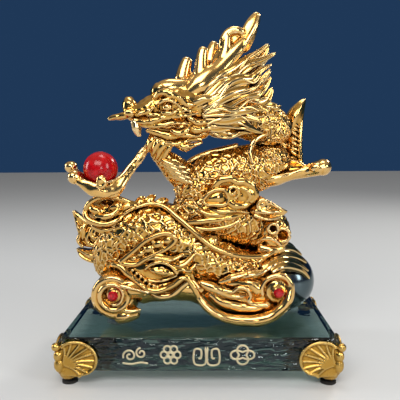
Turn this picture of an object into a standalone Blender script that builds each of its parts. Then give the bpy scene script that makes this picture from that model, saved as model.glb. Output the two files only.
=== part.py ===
"""Gold-plated dragon on a ruyi sceptre, with a red bead, on a glass plinth with corner feet.

Metres, +Z up, the front faces -Y.  The origin is on the table, under the middle of the plinth.
Points of the figurine are written in millimetres from the middle of the glass top, as (x, y, z) or,
along a round piece, as (x, y, z, radius).
"""
import math

import bmesh
import bpy
from mathutils import Matrix, Vector

# ---------------------------------------------------------------- driving dimensions (millimetres)
MM = 0.001
GAP = 0.3                    # left between pieces that touch
MERGE = 0.02                 # points closer than this are one point
LEVEL = 1e-6                 # two heights nearer than this are level
GROWTH_LIMIT = 1.6           # most that a sharp corner may run out when a shape is grown

PLINTH_WIDTH = 160.0
PLINTH_DEPTH = 90.0
PLINTH_THICKNESS = 20.0
PLINTH_BEVEL = 0.8

FOOT_LIFT = 8.0              # underside of the glass above the table
FOOT_REACH = 24.0            # along each face of the glass, from the outer corner
FOOT_WALL = 3.4              # metal outside the glass
FOOT_RISE = 15.5             # up the side of the glass
FOOT_LEDGE = 2.6             # plate under the glass
FOOT_BEVEL = 0.8
LEG_RADIUS = 7.0
LEG_INSET = 1.0              # side of the leg inside the outer corner
LEG_FLARE = 0.6              # foot of the leg outside its pad
LEG_NECK = 0.8               # top of the leg, as a share of its radius
PAD_RADIUS = 4.6
PAD_THICKNESS = 1.2

FIGURE_HEIGHT = 189.0        # antler tip above the glass
FIGURE_NOMINAL = 189.0       # the height that the points below are written for

BEAD_DIAMETER = 20.4
BEAD_CENTRE = (-57.8, -24.0, 95.8)
PIN_DIAMETER = 1.8
PIN_CLEARANCE = 0.35
PIN_SHORTFALL = 1.0          # tip of the pin below the top of the bead
PIN_TAIL = 3.0               # pin below the bead, through the floor of the scoop
BEAD_REST = 0.5              # floor of the scoop below the bead

SCOOP_WALL = 1.8
SCOOP_WIDTH = 17.0
FINGER_TIP = 6.2             # tip of the small finger below the middle of the bead

GEM_RADIUS = 3.2
GEM_DEPTH = 2.6
GEM_TABLE = 0.55             # flat front of a stone, as a share of its radius
GEM_LEFT = (-50.3, -34.2, 21.4)
GEM_RIGHT = (47.4, -31.6, 22.4)

DOWEL_RADIUS = 2.0
BOND_RADIUS = 7.5            # under the two ends of the sceptre
BALL_BOND_RADIUS = 5.0       # under the ball
BOND_THICKNESS = 0.6

BALL_CENTRE = (56.0, 8.0, 20.5)
BALL_RADIUS = 19.6
CLAW_REACH = 22.0            # middle of a claw from the middle of the ball
CLAW_SET_BACK = 4.0          # claws in front of the middle of the ball

GLASS_TOP = FOOT_LIFT + PLINTH_THICKNESS
SCALE = FIGURE_HEIGHT / FIGURE_NOMINAL
BOND_TOP = GAP + BOND_THICKNESS + GAP    # lowest point of the castings above the glass


def at(x, y, z):
    """A point of the figurine, in metres."""
    return Vector((x * SCALE, y * SCALE, GLASS_TOP + z * SCALE)) * MM


# ---------------------------------------------------------------- scene and materials
for old in list(bpy.data.objects):
    bpy.data.objects.remove(old, do_unlink=True)

PARTS = bpy.data.collections.new("dragon_figurine")
CUTTERS = bpy.data.collections.new("cutters")
bpy.context.scene.collection.children.link(PARTS)
bpy.context.scene.collection.children.link(CUTTERS)


def finish(name, colour, roughness, metallic, transmission=0.0):
    material = bpy.data.materials.new(name)
    material.use_nodes = True
    shader = material.node_tree.nodes["Principled BSDF"]
    shader.inputs["Base Color"].default_value = (*colour, 1.0)
    shader.inputs["Roughness"].default_value = roughness
    shader.inputs["Metallic"].default_value = metallic
    shader.inputs["Transmission Weight"].default_value = transmission
    return material


GOLD = finish("plated_gold", (0.93, 0.58, 0.16), 0.16, 1.0)
DARK_GOLD = finish("dark_cast_gold", (0.72, 0.46, 0.12), 0.30, 1.0)
GLASS = finish("tinted_glass", (0.45, 0.72, 0.62), 0.03, 0.0, 1.0)
BEAD_RED = finish("red_bead", (0.72, 0.01, 0.02), 0.08, 0.0, 0.3)
GEM_RED = finish("red_rhinestone", (0.75, 0.02, 0.02), 0.03, 0.0, 0.5)
STEEL = finish("pin_steel", (0.60, 0.58, 0.55), 0.30, 1.0)
FELT = finish("pad_felt", (0.10, 0.09, 0.08), 0.90, 0.0)
ADHESIVE = finish("clear_adhesive", (0.80, 0.80, 0.74), 0.30, 0.0, 0.6)


# ---------------------------------------------------------------- shapes
def show(mesh, name, material, smooth=40.0):
    """Put a mesh in the model as one named piece."""
    mesh.name = name
    mesh.materials.clear()
    mesh.materials.append(material)
    mesh.shade_smooth()
    mesh.set_sharp_from_angle(angle=math.radians(smooth))
    piece = bpy.data.objects.new(name, mesh)
    PARTS.objects.link(piece)
    return piece


def mesh_of(tool):
    mesh = bpy.data.meshes.new("shape")
    tool.to_mesh(mesh)
    tool.free()
    return mesh


def blend(around, t):
    """A point between the middle two of four equally long tuples (Catmull-Rom), t from 0 to 1."""
    return tuple(
        0.5 * (2 * b + (c - a) * t + (2 * a - 5 * b + 4 * c - d) * t ** 2
               + (3 * b - a - 3 * c + d) * t ** 3)
        for a, b, c, d in zip(*around))


def along(stations, count):
    """Smooth samples of a list of equally long tuples."""
    last = len(stations) - 1
    samples = []
    for step in range(count):
        place = step / (count - 1) * last
        index = min(int(place), last - 1)
        around = [stations[min(max(index + shift, 0), last)] for shift in (-1, 0, 1, 2)]
        samples.append(blend(around, place - index))
    return samples


def evaluated(piece):
    """A new mesh of an object with its curve or modifiers worked out."""
    graph = bpy.context.evaluated_depsgraph_get()
    return bpy.data.meshes.new_from_object(piece.evaluated_get(graph))


def tube(stations, count=14, resolution=3, flat=1.0):
    """A closed round body along stations (x, y, z, radius); flat squeezes it front to back."""
    data = bpy.data.curves.new("path", "CURVE")
    data.dimensions = "3D"
    data.bevel_depth = MM
    data.bevel_resolution = resolution
    data.use_fill_caps = True
    line = data.splines.new("POLY")
    samples = along(stations, count)
    line.points.add(len(samples) - 1)
    for point, (x, y, z, radius) in zip(line.points, samples):
        point.co = (*at(x, y, z), 1.0)
        point.radius = radius * SCALE
    curve = bpy.data.objects.new("path", data)
    CUTTERS.objects.link(curve)
    mesh = evaluated(curve)
    bpy.data.objects.remove(curve, do_unlink=True)
    tool = bmesh.new()
    tool.from_mesh(mesh)
    bmesh.ops.remove_doubles(tool, verts=tool.verts, dist=MERGE * MM / 2)
    middle = sum(v.co.y for v in tool.verts) / len(tool.verts)
    for v in tool.verts:
        v.co.y = middle + (v.co.y - middle) * flat
    bmesh.ops.recalc_face_normals(tool, faces=tool.faces)
    return mesh_of(tool)


def level_edges(tool, axis):
    """The edges that lie square to an axis (0 for X, 1 for Y, 2 for Z)."""
    return [e for e in tool.edges if abs(e.verts[0].co[axis] - e.verts[1].co[axis]) < LEVEL]


def bevelled(tool, edges, width, segments=1):
    bmesh.ops.bevel(tool, geom=edges, offset=width, segments=segments, profile=0.5,
                    affect="EDGES", material=-1)


def blob(centre, radii, tilt=0.0, rings=2):
    """An egg shape; tilt turns it in the front view, in degrees."""
    tool = bmesh.new()
    bmesh.ops.create_icosphere(tool, subdivisions=rings, radius=MM * SCALE)
    bmesh.ops.scale(tool, vec=radii, verts=tool.verts)
    bmesh.ops.rotate(tool, matrix=Matrix.Rotation(math.radians(tilt), 3, "Y"), verts=tool.verts)
    bmesh.ops.translate(tool, vec=at(*centre), verts=tool.verts)
    return mesh_of(tool)


def disc(centre, radius, depth, sides=24, axis="Y", bevel=0.0):
    """A cylinder about a centre; all in figurine millimetres."""
    tool = bmesh.new()
    bmesh.ops.create_cone(tool, cap_ends=True, segments=sides, radius1=radius * MM * SCALE,
                          radius2=radius * MM * SCALE, depth=depth * MM * SCALE)
    if bevel:
        bevelled(tool, level_edges(tool, 2), bevel * MM * SCALE, 2)
    if axis == "Y":
        bmesh.ops.rotate(tool, matrix=Matrix.Rotation(math.radians(90), 3, "X"), verts=tool.verts)
    bmesh.ops.translate(tool, vec=at(*centre), verts=tool.verts)
    return mesh_of(tool)


def plate(outline, y, thickness, bevel=1.0, lean=0.0):
    """A flat shape with an outline of (x, z) points, standing at depth y; lean tips its top back."""
    tool = bmesh.new()
    low = min(z for x, z in outline)
    ring = [tool.verts.new((x, 0.0, z - low)) for x, z in outline]
    face = tool.faces.new(ring)
    grown = bmesh.ops.extrude_face_region(tool, geom=[face])
    moved = [v for v in grown["geom"] if isinstance(v, bmesh.types.BMVert)]
    bmesh.ops.translate(tool, vec=(0.0, thickness, 0.0), verts=moved)
    bmesh.ops.translate(tool, vec=(0.0, -thickness / 2, 0.0), verts=tool.verts)
    if bevel:
        bevelled(tool, level_edges(tool, 1), bevel)
    bmesh.ops.rotate(tool, matrix=Matrix.Rotation(math.radians(-lean), 3, "X"), verts=tool.verts)
    bmesh.ops.translate(tool, vec=(0.0, y, low), verts=tool.verts)
    bmesh.ops.scale(tool, vec=(SCALE * MM,) * 3, verts=tool.verts)
    bmesh.ops.translate(tool, vec=(0.0, 0.0, GLASS_TOP * MM), verts=tool.verts)
    bmesh.ops.recalc_face_normals(tool, faces=tool.faces)
    return mesh_of(tool)


def rounded(points, per_span=3):
    """A closed outline drawn smoothly through its points."""
    count = len(points)
    outline = []
    for index in range(count):
        around = [points[(index + shift) % count] for shift in (-1, 0, 1, 2)]
        outline.extend(blend(around, step / per_span) for step in range(per_span))
    return outline


# ---------------------------------------------------------------- joining and fitting
def helper(mesh, name="helper"):
    cutter = bpy.data.objects.new(name, mesh)
    cutter.hide_render = True
    cutter.display_type = "WIRE"
    CUTTERS.objects.link(cutter)
    return cutter


def boolean(mesh, other, operation):
    """The mesh after one exact Boolean with another mesh."""
    base = helper(mesh)
    tool = helper(other)
    step = base.modifiers.new("step", "BOOLEAN")
    step.operation = operation
    step.solver = "EXACT"
    step.object = tool
    result = evaluated(base)
    bpy.data.objects.remove(base, do_unlink=True)
    bpy.data.objects.remove(tool, do_unlink=True)
    return result


def joined(*shapes):
    result = shapes[0]
    for shape in shapes[1:]:
        result = boolean(result, shape, "UNION")
    return result


def swollen(mesh, margin):
    """A copy of a mesh grown outwards by a margin in millimetres."""
    tool = bmesh.new()
    tool.from_mesh(mesh)
    bmesh.ops.remove_doubles(tool, verts=tool.verts, dist=MERGE * MM)
    tool.normal_update()
    for v in tool.verts:
        v.co += v.normal * margin * MM * min(v.calc_shell_factor(), GROWTH_LIMIT)
    return mesh_of(tool)


def tidied(mesh):
    """The largest closed body of a mesh, without slivers."""
    tool = bmesh.new()
    tool.from_mesh(mesh)
    bmesh.ops.remove_doubles(tool, verts=tool.verts, dist=MERGE * MM)
    bmesh.ops.dissolve_degenerate(tool, edges=tool.edges, dist=MERGE * MM)
    bodies = []
    left = set(tool.verts)
    while left:
        body = [left.pop()]
        for v in body:
            for edge in v.link_edges:
                other = edge.other_vert(v)
                if other in left:
                    left.discard(other)
                    body.append(other)
        bodies.append(body)

    def reach(body):
        lows = [min(v.co[axis] for v in body) for axis in range(3)]
        highs = [max(v.co[axis] for v in body) for axis in range(3)]
        return math.prod(high - low for low, high in zip(lows, highs))

    bodies.sort(key=reach)
    for body in bodies[:-1]:
        bmesh.ops.delete(tool, geom=body, context="VERTS")
    return mesh_of(tool)


def box_of(mesh):
    corners = [v.co for v in mesh.vertices]
    return [(min(c[axis] for c in corners), max(c[axis] for c in corners)) for axis in range(3)]


def near(first, second):
    return all(a[0] < b[1] and b[0] < a[1] for a, b in zip(box_of(first), box_of(second)))


GUARDS = []      # every shape already placed, grown by the gap


def guard(*shapes):
    GUARDS.extend(swollen(shape, GAP) for shape in shapes)


def add(name, material, *shapes):
    """One piece of the object: its shapes joined, cut back round everything placed before it."""
    mesh = joined(*shapes)
    for earlier in GUARDS:
        if near(mesh, earlier):
            mesh = boolean(mesh, earlier, "DIFFERENCE")
    show(tidied(mesh), name, material)
    guard(*shapes)


# ---------------------------------------------------------------- plinth, feet and pads
def block(low, high, bevel=0.0):
    """A box between two corners, in millimetres from the origin."""
    tool = bmesh.new()
    bmesh.ops.create_cube(tool, size=1.0)
    size = [b - a for a, b in zip(low, high)]
    bmesh.ops.scale(tool, vec=size, verts=tool.verts)
    if bevel:
        bevelled(tool, tool.edges, bevel)
    bmesh.ops.translate(tool, vec=[(a + b) / 2 for a, b in zip(low, high)], verts=tool.verts)
    bmesh.ops.scale(tool, vec=(MM, MM, MM), verts=tool.verts)
    return mesh_of(tool)


def prism(outline, low, high, bevel=0.0):
    """A plan outline of (x, y) points drawn up from low to high, in millimetres from the origin."""
    tool = bmesh.new()
    face = tool.faces.new([tool.verts.new((x, y, low)) for x, y in outline])
    grown = bmesh.ops.extrude_face_region(tool, geom=[face])
    moved = [v for v in grown["geom"] if isinstance(v, bmesh.types.BMVert)]
    bmesh.ops.translate(tool, vec=(0.0, 0.0, high - low), verts=moved)
    bmesh.ops.recalc_face_normals(tool, faces=tool.faces)
    if bevel:
        bevelled(tool, tool.edges, bevel)
    bmesh.ops.scale(tool, vec=(MM, MM, MM), verts=tool.verts)
    return mesh_of(tool)


def turned(profile, sides, x, y):
    """A turned solid about an upright axis through (x, y); its profile is (radius, z), bottom to top."""
    tool = bmesh.new()
    rings = []
    for radius, z in profile:
        ring = bmesh.ops.create_circle(tool, segments=sides, radius=radius * MM)["verts"]
        bmesh.ops.translate(tool, vec=(x * MM, y * MM, z * MM), verts=ring)
        rings.append(ring)
    for lower, upper in zip(rings, rings[1:]):
        edges = [e for e in tool.edges if any(all(v in ring for v in e.verts) for ring in (lower, upper))]
        bmesh.ops.bridge_loops(tool, edges=edges)
    for ring in (rings[0], rings[-1]):
        tool.faces.new(ring)
    bmesh.ops.recalc_face_normals(tool, faces=tool.faces)
    return mesh_of(tool)


def make_plinth():
    half_width = PLINTH_WIDTH / 2
    half_depth = PLINTH_DEPTH / 2
    slab = block((-half_width, -half_depth, FOOT_LIFT), (half_width, half_depth, GLASS_TOP), PLINTH_BEVEL)
    add("glass_plinth", GLASS, slab)


def make_foot(name, side, front):
    """A cast corner bracket: two flanges round the glass, a ledge under it and a ball leg."""
    corner_x = PLINTH_WIDTH / 2 + FOOT_WALL
    corner_y = PLINTH_DEPTH / 2 + FOOT_WALL
    inner_x = PLINTH_WIDTH / 2 + GAP
    inner_y = PLINTH_DEPTH / 2 + GAP
    top = FOOT_LIFT + FOOT_RISE
    ledge_top = FOOT_LIFT - GAP

    outer_x = corner_x - FOOT_REACH
    outer_y = corner_y - FOOT_REACH
    corner = [(outer_x, inner_y), (outer_x, corner_y), (corner_x, corner_y),
              (corner_x, outer_y), (inner_x, outer_y), (inner_x, inner_y)]
    flange = prism([(side * x, front * y) for x, y in corner], ledge_top - FOOT_LEDGE, top, FOOT_BEVEL)
    ledge_x = sorted((side * (outer_x + FOOT_BEVEL), side * (corner_x - FOOT_BEVEL)))
    ledge_y = sorted((front * (outer_y + FOOT_BEVEL), front * (corner_y - FOOT_BEVEL)))
    ledge_low = ledge_top - FOOT_LEDGE + FOOT_BEVEL / 2
    ledge = block((ledge_x[0], ledge_y[0], ledge_low), (ledge_x[1], ledge_y[1], ledge_top))
    leg_x = side * (corner_x - LEG_RADIUS - LEG_INSET)
    leg_y = front * (corner_y - LEG_RADIUS - LEG_INSET)
    leg_low = PAD_THICKNESS + GAP
    leg = turned([(PAD_RADIUS + LEG_FLARE, leg_low), (LEG_RADIUS, (leg_low + ledge_top) / 2),
                  (LEG_RADIUS * LEG_NECK, ledge_top - FOOT_LEDGE / 2)], 16, leg_x, leg_y)
    add("corner_foot_" + name, DARK_GOLD, ledge, flange, leg)
    pad = turned([(PAD_RADIUS, 0.0), (PAD_RADIUS, PAD_THICKNESS)], 20, leg_x, leg_y)
    add("foot_pad_" + name, FELT, pad)


def make_feet():
    for name, side, front in (("front_left", -1, -1), ("front_right", 1, -1),
                              ("rear_left", -1, 1), ("rear_right", 1, 1)):
        make_foot(name, side, front)


# ---------------------------------------------------------------- bead, pin and scoop
def make_bead():
    """The drilled bead, free to turn on its pin."""
    radius = BEAD_DIAMETER / 2
    ball = bmesh.new()
    bmesh.ops.create_uvsphere(ball, u_segments=20, v_segments=12, radius=radius * MM * SCALE)
    bmesh.ops.translate(ball, vec=at(*BEAD_CENTRE), verts=ball.verts)
    ball = mesh_of(ball)
    bore = disc(BEAD_CENTRE, PIN_DIAMETER / 2 + PIN_CLEARANCE, BEAD_DIAMETER * 1.2, 12, "Z")
    mesh = boolean(ball, bore, "DIFFERENCE")
    mesh.transform(Matrix.Translation(-at(*BEAD_CENTRE)))
    bead = show(mesh, "pearl_bead", BEAD_RED)
    bead.location = at(*BEAD_CENTRE)
    x, y, z = BEAD_CENTRE
    low = z - radius - PIN_TAIL
    high = z + radius - PIN_SHORTFALL
    add("pearl_pin", STEEL, disc((x, y, (low + high) / 2), PIN_DIAMETER / 2, high - low, 12, "Z"))
    guard(ball)


def make_scoop():
    """The leaf blade that carries the bead: a gutter that widens into a cup under it."""
    x, y, z = BEAD_CENTRE
    reach = BEAD_DIAMETER / 2 + BEAD_REST
    line = [(-27.5, -18.0, 111.0, 0.30), (-35.0, -20.5, 103.0, 0.42), (-42.5, y, 94.5, 0.62),
            (x + reach * 0.72, y, z - reach * 0.78, 0.90), (x, y, z - reach - 0.2, 1.0),
            (x - reach * 0.72, y, z - reach * 0.78, 0.86), (x - reach * 1.15, y, z - reach * 0.25, 0.62),
            (-74.5, y, 95.0, 0.42)]
    samples = along(line, 15)
    across = 5
    tool = bmesh.new()
    bmesh.ops.create_grid(tool, x_segments=len(samples) - 1, y_segments=across, size=1.0)
    for v in tool.verts:
        px, py, pz, width = samples[round((v.co.x + 1) / 2 * (len(samples) - 1))]
        offset = v.co.y * SCOOP_WIDTH / 2 * width
        lift = reach - math.sqrt(max(reach ** 2 - offset ** 2, 0.0))
        v.co = at(px, py + offset, pz + lift)
    surface = helper(mesh_of(tool), "scoop_surface")
    wall = surface.modifiers.new("wall", "SOLIDIFY")
    wall.thickness = SCOOP_WALL * MM * SCALE
    wall.offset = -1.0
    wall.use_even_offset = True
    shell = evaluated(surface)
    bpy.data.objects.remove(surface, do_unlink=True)
    knob_back = blob((-76.0, y + 2.4, 97.0), (4.2, 3.6, 3.8))
    knob_front = blob((-72.5, y - 4.6, 91.4), (4.4, 3.8, 4.2))
    stem = tube([(-66.0, y, 85.0, 3.0), (-71.0, y, 90.0, 3.0), (-75.0, y + 1.0, 95.0, 2.6)], 5, 2)
    add("pearl_scoop", GOLD, shell, stem, knob_back, knob_front)


def make_keel():
    """The thick root under the cup, which stands on the cloud and takes the tail of the pin."""
    x, y, z = BEAD_CENTRE
    low = z - BEAD_DIAMETER / 2 - BEAD_REST
    keel = [(-38, y + 2.5, low + 10, 1.6), (-45, y + 2.0, low + 1.5, 3.2), (-52, y + 2.0, low - 4.0, 4.0),
            (x, y + 2.0, low - 5.5, 4.2), (x - 6.0, y + 2.0, low - 2.5, 3.4),
            (x - 12.0, y + 1.0, low + 3.5, 2.0)]
    add("scoop_keel", GOLD, tube(keel, 10, 2))


def make_finger():
    """The small curled finger in front of the bead."""
    x, y, z = BEAD_CENTRE
    reach = BEAD_DIAMETER / 2 + BEAD_REST
    finger = tube([(x + 7.0, y - 5.0, z - reach - 1.0, 2.2),
                   (x + 4.5, y - reach * 0.85, z - reach * 0.62, 2.2),
                   (x + 0.5, y - reach - 1.0, z - reach * 0.42, 2.0),
                   (x - 3.0, y - reach - 0.6, z - FINGER_TIP, 1.4)], 8, 2)
    add("scoop_finger", GOLD, finger)


# ---------------------------------------------------------------- ruyi sceptre, stones and ball
def flat_bottom(shape):
    """Cut a shape level, a little above the glass, so that it stands on its bond pad."""
    size = PLINTH_WIDTH + FIGURE_HEIGHT
    below = block((-size, -size, GLASS_TOP - size), (size, size, GLASS_TOP + BOND_TOP * SCALE))
    return boolean(shape, below, "DIFFERENCE")


def make_stones():
    for name, centre in (("gem_left", GEM_LEFT), ("gem_right", GEM_RIGHT)):
        x, y, z = centre
        tool = bmesh.new()
        bmesh.ops.create_cone(tool, cap_ends=True, segments=12, radius1=GEM_RADIUS * MM * SCALE,
                              radius2=GEM_RADIUS * GEM_TABLE * MM * SCALE, depth=GEM_DEPTH * MM * SCALE)
        bmesh.ops.rotate(tool, matrix=Matrix.Rotation(math.radians(90), 3, "X"), verts=tool.verts)
        bmesh.ops.translate(tool, vec=at(x, y, z), verts=tool.verts)
        add(name, GEM_RED, mesh_of(tool))


def make_bond_pads():
    for name, x, y, radius in (("bond_pad_left", -50.0, -16.0, BOND_RADIUS),
                               ("bond_pad_right", 30.0, -20.0, BOND_RADIUS),
                               ("bond_pad_ball", BALL_CENTRE[0], BALL_CENTRE[1], BALL_BOND_RADIUS)):
        pad = disc((x, y, GAP + BOND_THICKNESS / 2), radius, BOND_THICKNESS, 20, "Z")
        add(name, ADHESIVE, pad)


def make_ruyi():
    left = joined(disc((-50.5, -21.0, 16.5), 15.0, 24.0, 28, "Y", 4.0),
                  plate(rounded([(-42, 4), (-30, 6), (-28, 18), (-31, 23), (-40, 26)]), -20.0, 17.0, 1.5),
                  plate(rounded([(-56, 1), (-33, 1), (-34, 8), (-52, 8)]), -17.0, 20.0, 1.5))
    add("ruyi_scroll_left", GOLD, flat_bottom(left))
    edge = rounded([(-2, 17), (8, 8), (19, 1), (34, 0.5), (48, 5), (58, 16), (60, 27), (52, 33),
                    (40, 31), (22, 29), (8, 24)])
    lobe = plate(edge, -19.0, 23.0, 3.0, 6.0)
    ring = disc((47.4, -21.0, 22.4), 10.0, 18.0, 24, "Y", 2.0)
    add("ruyi_lobe_right", GOLD, flat_bottom(joined(lobe, ring)))
    bar = tube([(-40, -14, 20, 9.5), (-28, -14, 20, 9.0), (-14, -14, 22, 8.5), (0, -13, 20, 9.5),
                (14, -11, 14, 11.0), (28, -8, 13, 11.5)], 12, 3)
    add("ruyi_bar", GOLD, flat_bottom(bar))


def make_ball():
    ball = blob(BALL_CENTRE, (BALL_RADIUS, BALL_RADIUS, BALL_RADIUS), 0.0, 3)
    add("rock_ball", GOLD, flat_bottom(ball))


# ---------------------------------------------------------------- dragon: body
NECK_END = (51.0, 8.0, 110.0, 14.0)


def make_body():
    """The neck, then the coils that hold it up, from the chest down to the plinth."""
    neck = [(14, -5, 127, 11.0), (30, -2, 126, 12.5), (44, 4, 121, 13.5), NECK_END]
    add("neck", GOLD, tube(neck, 9))
    chest = [NECK_END, (43, 6, 98, 14.5), (28, 1, 93, 16.0), (12, -4, 91, 15.5), (0, -8, 82, 15.0)]
    add("chest_coil", GOLD, tube(chest, 11))
    lower = [(-56, -3, 24, 9.0), (-54, -6, 42, 13.5), (-41, -9, 55, 16.5), (-22, -11, 57, 17.0),
             (-3, -12, 46, 16.0), (16, -12, 35, 14.0), (36, -9, 31, 12.0), (50, -2, 31, 9.0)]
    add("lower_coil", GOLD, tube(lower, 16))
    middle = [(-13, -9, 70, 7.0), (-6, -9, 70, 13.0), (8, -8, 68, 16.5), (27, -3, 63, 17.5),
              (43, 2, 55, 15.0), (51, 9, 44, 11.0)]
    add("middle_coil", GOLD, tube(middle, 11))
    rear = [(46, 14, 50, 10.0), (34, 22, 40, 12.0), (12, 25, 34, 13.0), (-14, 24, 32, 12.5),
            (-36, 18, 30, 11.0), (-52, 8, 30, 9.0)]
    add("rear_coil", GOLD, tube(rear, 12))


def make_ridge():
    """The bright dorsal ribbon down the lower coil."""
    ridge = tube([(-30, -20, 72, 2.6), (-10, -26.5, 62, 2.8), (6, -28.5, 50, 2.8), (20, -27.5, 43, 2.8),
                  (34, -22, 40, 2.6), (46, -12, 42, 2.2)], 14, 2)
    add("dorsal_ridge", GOLD, ridge)


# ---------------------------------------------------------------- dragon: head
def make_head():
    skull = tube([(-47, -22, 130, 3.0), (-43, -22, 131, 5.0), (-34, -21, 131, 6.6), (-24, -19, 132, 9.0),
                  (-12, -15, 134, 12.5), (2, -10, 133, 14.0), (14, -6, 130, 11.5)], 11, 3)
    brow = blob((-22, -20, 141), (7.5, 6.5, 4.5), 12)
    nose = blob((-43, -22, 135.5), (4.2, 5.2, 5.2))
    add("head", GOLD, skull, brow, nose)
    jaw = [(-29, -19, 117, 3.2), (-17, -16, 114.5, 5.0), (-5, -12, 117, 6.0), (7, -8, 120, 5.0)]
    add("lower_jaw", GOLD, tube(jaw, 9))
    for name, y in (("left", -24.5), ("right", -17.5)):
        fang = [(-36.5, y, 125, 2.6), (-36.0, y, 120, 2.2), (-34.8, y, 115.4, 0.6)]
        add("fang_" + name, GOLD, tube(fang, 5, 2))
    horn = [(-44, -24, 126.5, 2.4), (-48.5, -23.5, 125.4, 1.9), (-52.4, -22.5, 125.2, 1.2)]
    add("nose_horn", GOLD, tube(horn, 5, 2))


def make_antler(name, beam, tines):
    shapes = [tube(beam, 13, 2)]
    shapes += [tube(tine, 5, 2) for tine in tines]
    add(name, GOLD, *shapes)


def make_antlers():
    make_antler("antler_left",
                [(-27, -15, 140, 3.0), (-23, -15, 145, 7.0), (-13, -15, 146, 7.0), (-3, -15, 148, 6.2),
                 (9, -14, 153, 6.6), (20, -13, 163, 6.2), (27, -12, 172, 5.0), (32, -11, 181, 3.6),
                 (36, -10, 188.2, 0.9)],
                [[(2, -14, 150, 5.0), (3, -14.5, 159, 4.4), (4.6, -14, 169.5, 1.8)],
                 [(15, -13.5, 158, 5.0), (17, -13.8, 168, 4.6), (22, -12.5, 176, 2.4)]])
    make_antler("antler_right",
                [(-24, -2, 140, 3.0), (-21, -1, 145, 5.4), (-12, -1, 147, 5.6), (-2, 0, 150, 5.2),
                 (9, 1, 157, 5.2), (17, 2, 166, 4.8), (23, 3, 175, 3.6), (28, 3, 183, 1.2)],
                [[(-9, -1, 150, 4.0), (-8, 0, 158, 4.0), (-6, 1, 167, 1.8)],
                 [(8, 0, 158, 4.0), (11, 1, 167, 3.6), (15, 1, 177, 1.5)]])


def make_mane():
    """Three fans of hair, one behind the other, and the ears."""
    near_tips = rounded([(2, 138), (14, 150), (30, 158), (47, 167), (40, 160), (46, 157), (41, 148),
                         (46, 143), (50, 133), (40, 128), (22, 124), (8, 126)], 2)
    far_tips = rounded([(4, 140), (16, 154), (33, 164), (40, 160), (48, 159.5), (44, 150), (50, 142),
                        (54, 130), (44, 128), (24, 126), (8, 128)], 2)
    middle_tips = rounded([(20, 139), (34, 152), (43, 150), (46, 142), (52, 136), (53, 126), (46, 120),
                           (30, 122)], 2)
    add("mane_left", GOLD, plate(near_tips, -13.0, 8.0))
    add("mane_right", GOLD, plate(far_tips, 6.0, 9.0))
    add("mane_crest", GOLD, plate(middle_tips, -3.5, 9.0))
    add("ear_left", GOLD, tube([(-6, -20, 141, 2.0), (2, -23, 144, 3.2), (9, -24, 148, 1.0)], 6, 2))
    add("ear_right", GOLD, tube([(-6, 3, 141, 2.0), (2, 7, 144, 3.2), (9, 8, 148, 1.0)], 6, 2))


def make_beard():
    fan = rounded([(-29, 118), (-17, 114), (-15, 104), (-17.5, 96), (-22, 99), (-29, 108)], 2)
    add("beard", GOLD, plate(fan, -19.0, 7.0))
    tuft = [(-18, -17, 108.5, 1.6), (-12, -17, 109, 2.4), (-7, -16, 108.5, 0.8)]
    add("chin_tuft", GOLD, tube(tuft, 6, 2))


# ---------------------------------------------------------------- dragon: limbs, fins and clouds
def make_limbs():
    foreleg = [(-4, -10, 86, 9.0), (-12, -12, 93, 8.5), (-19, -15, 100, 6.5), (-27, -18, 107, 3.6)]
    add("foreleg_left", GOLD, tube(foreleg, 9))
    blade = [(36, 1, 84, 4.0), (50, 1, 88, 6.4), (64, 0, 91, 5.2), (73, -1, 94.5, 3.6),
             (78, -1.5, 98, 4.2), (81, -2, 101, 2.6)]
    add("foreleg_right", GOLD, tube(blade, 12, 3, 1.5))
    fin = rounded([(50, 98), (66, 97), (66.5, 112), (68, 124), (69.5, 139), (63, 132), (58, 124),
                   (52, 114)], 2)
    add("fin_right", GOLD, plate(fin, 12.0, 6.0))
    thigh = rounded([(-36, 38), (-24, 46), (-14, 51), (-12, 58), (-18, 60), (-28, 55), (-37, 45)], 2)
    add("thigh_left", GOLD, plate(thigh, -27.0, 6.0))
    claw = joined(tube([(34, -18, 72, 4.5), (44, -21, 74, 4.6), (53, -22, 73, 2.0)], 7, 2),
                  tube([(36, -19, 69, 3.0), (44, -22, 67, 2.8), (49, -22, 66, 1.6)], 5, 2))
    add("hind_claw_right", GOLD, claw)


def make_ball_claw():
    """A palm behind the ball and three claws laid over it."""
    x, y, z = BALL_CENTRE
    claws = []
    for angle in (-34.0, -10.0, 14.0):
        turn = math.radians(angle)
        points = []
        for tip, radius in ((150.0, 3.0), (115.0, 3.2), (85.0, 2.8), (58.0, 1.2)):
            rise = math.radians(tip)
            points.append((x + CLAW_REACH * math.cos(rise),
                           y + CLAW_REACH * math.sin(rise) * math.sin(turn) - CLAW_SET_BACK,
                           z + CLAW_REACH * math.sin(rise) * math.cos(turn), radius))
        claws.append(tube(points, 6, 2))
    palm = blob((38, -1, 36), (8.0, 11.0, 6.0), 15)
    add("ball_claw", GOLD, palm, *claws)


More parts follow.
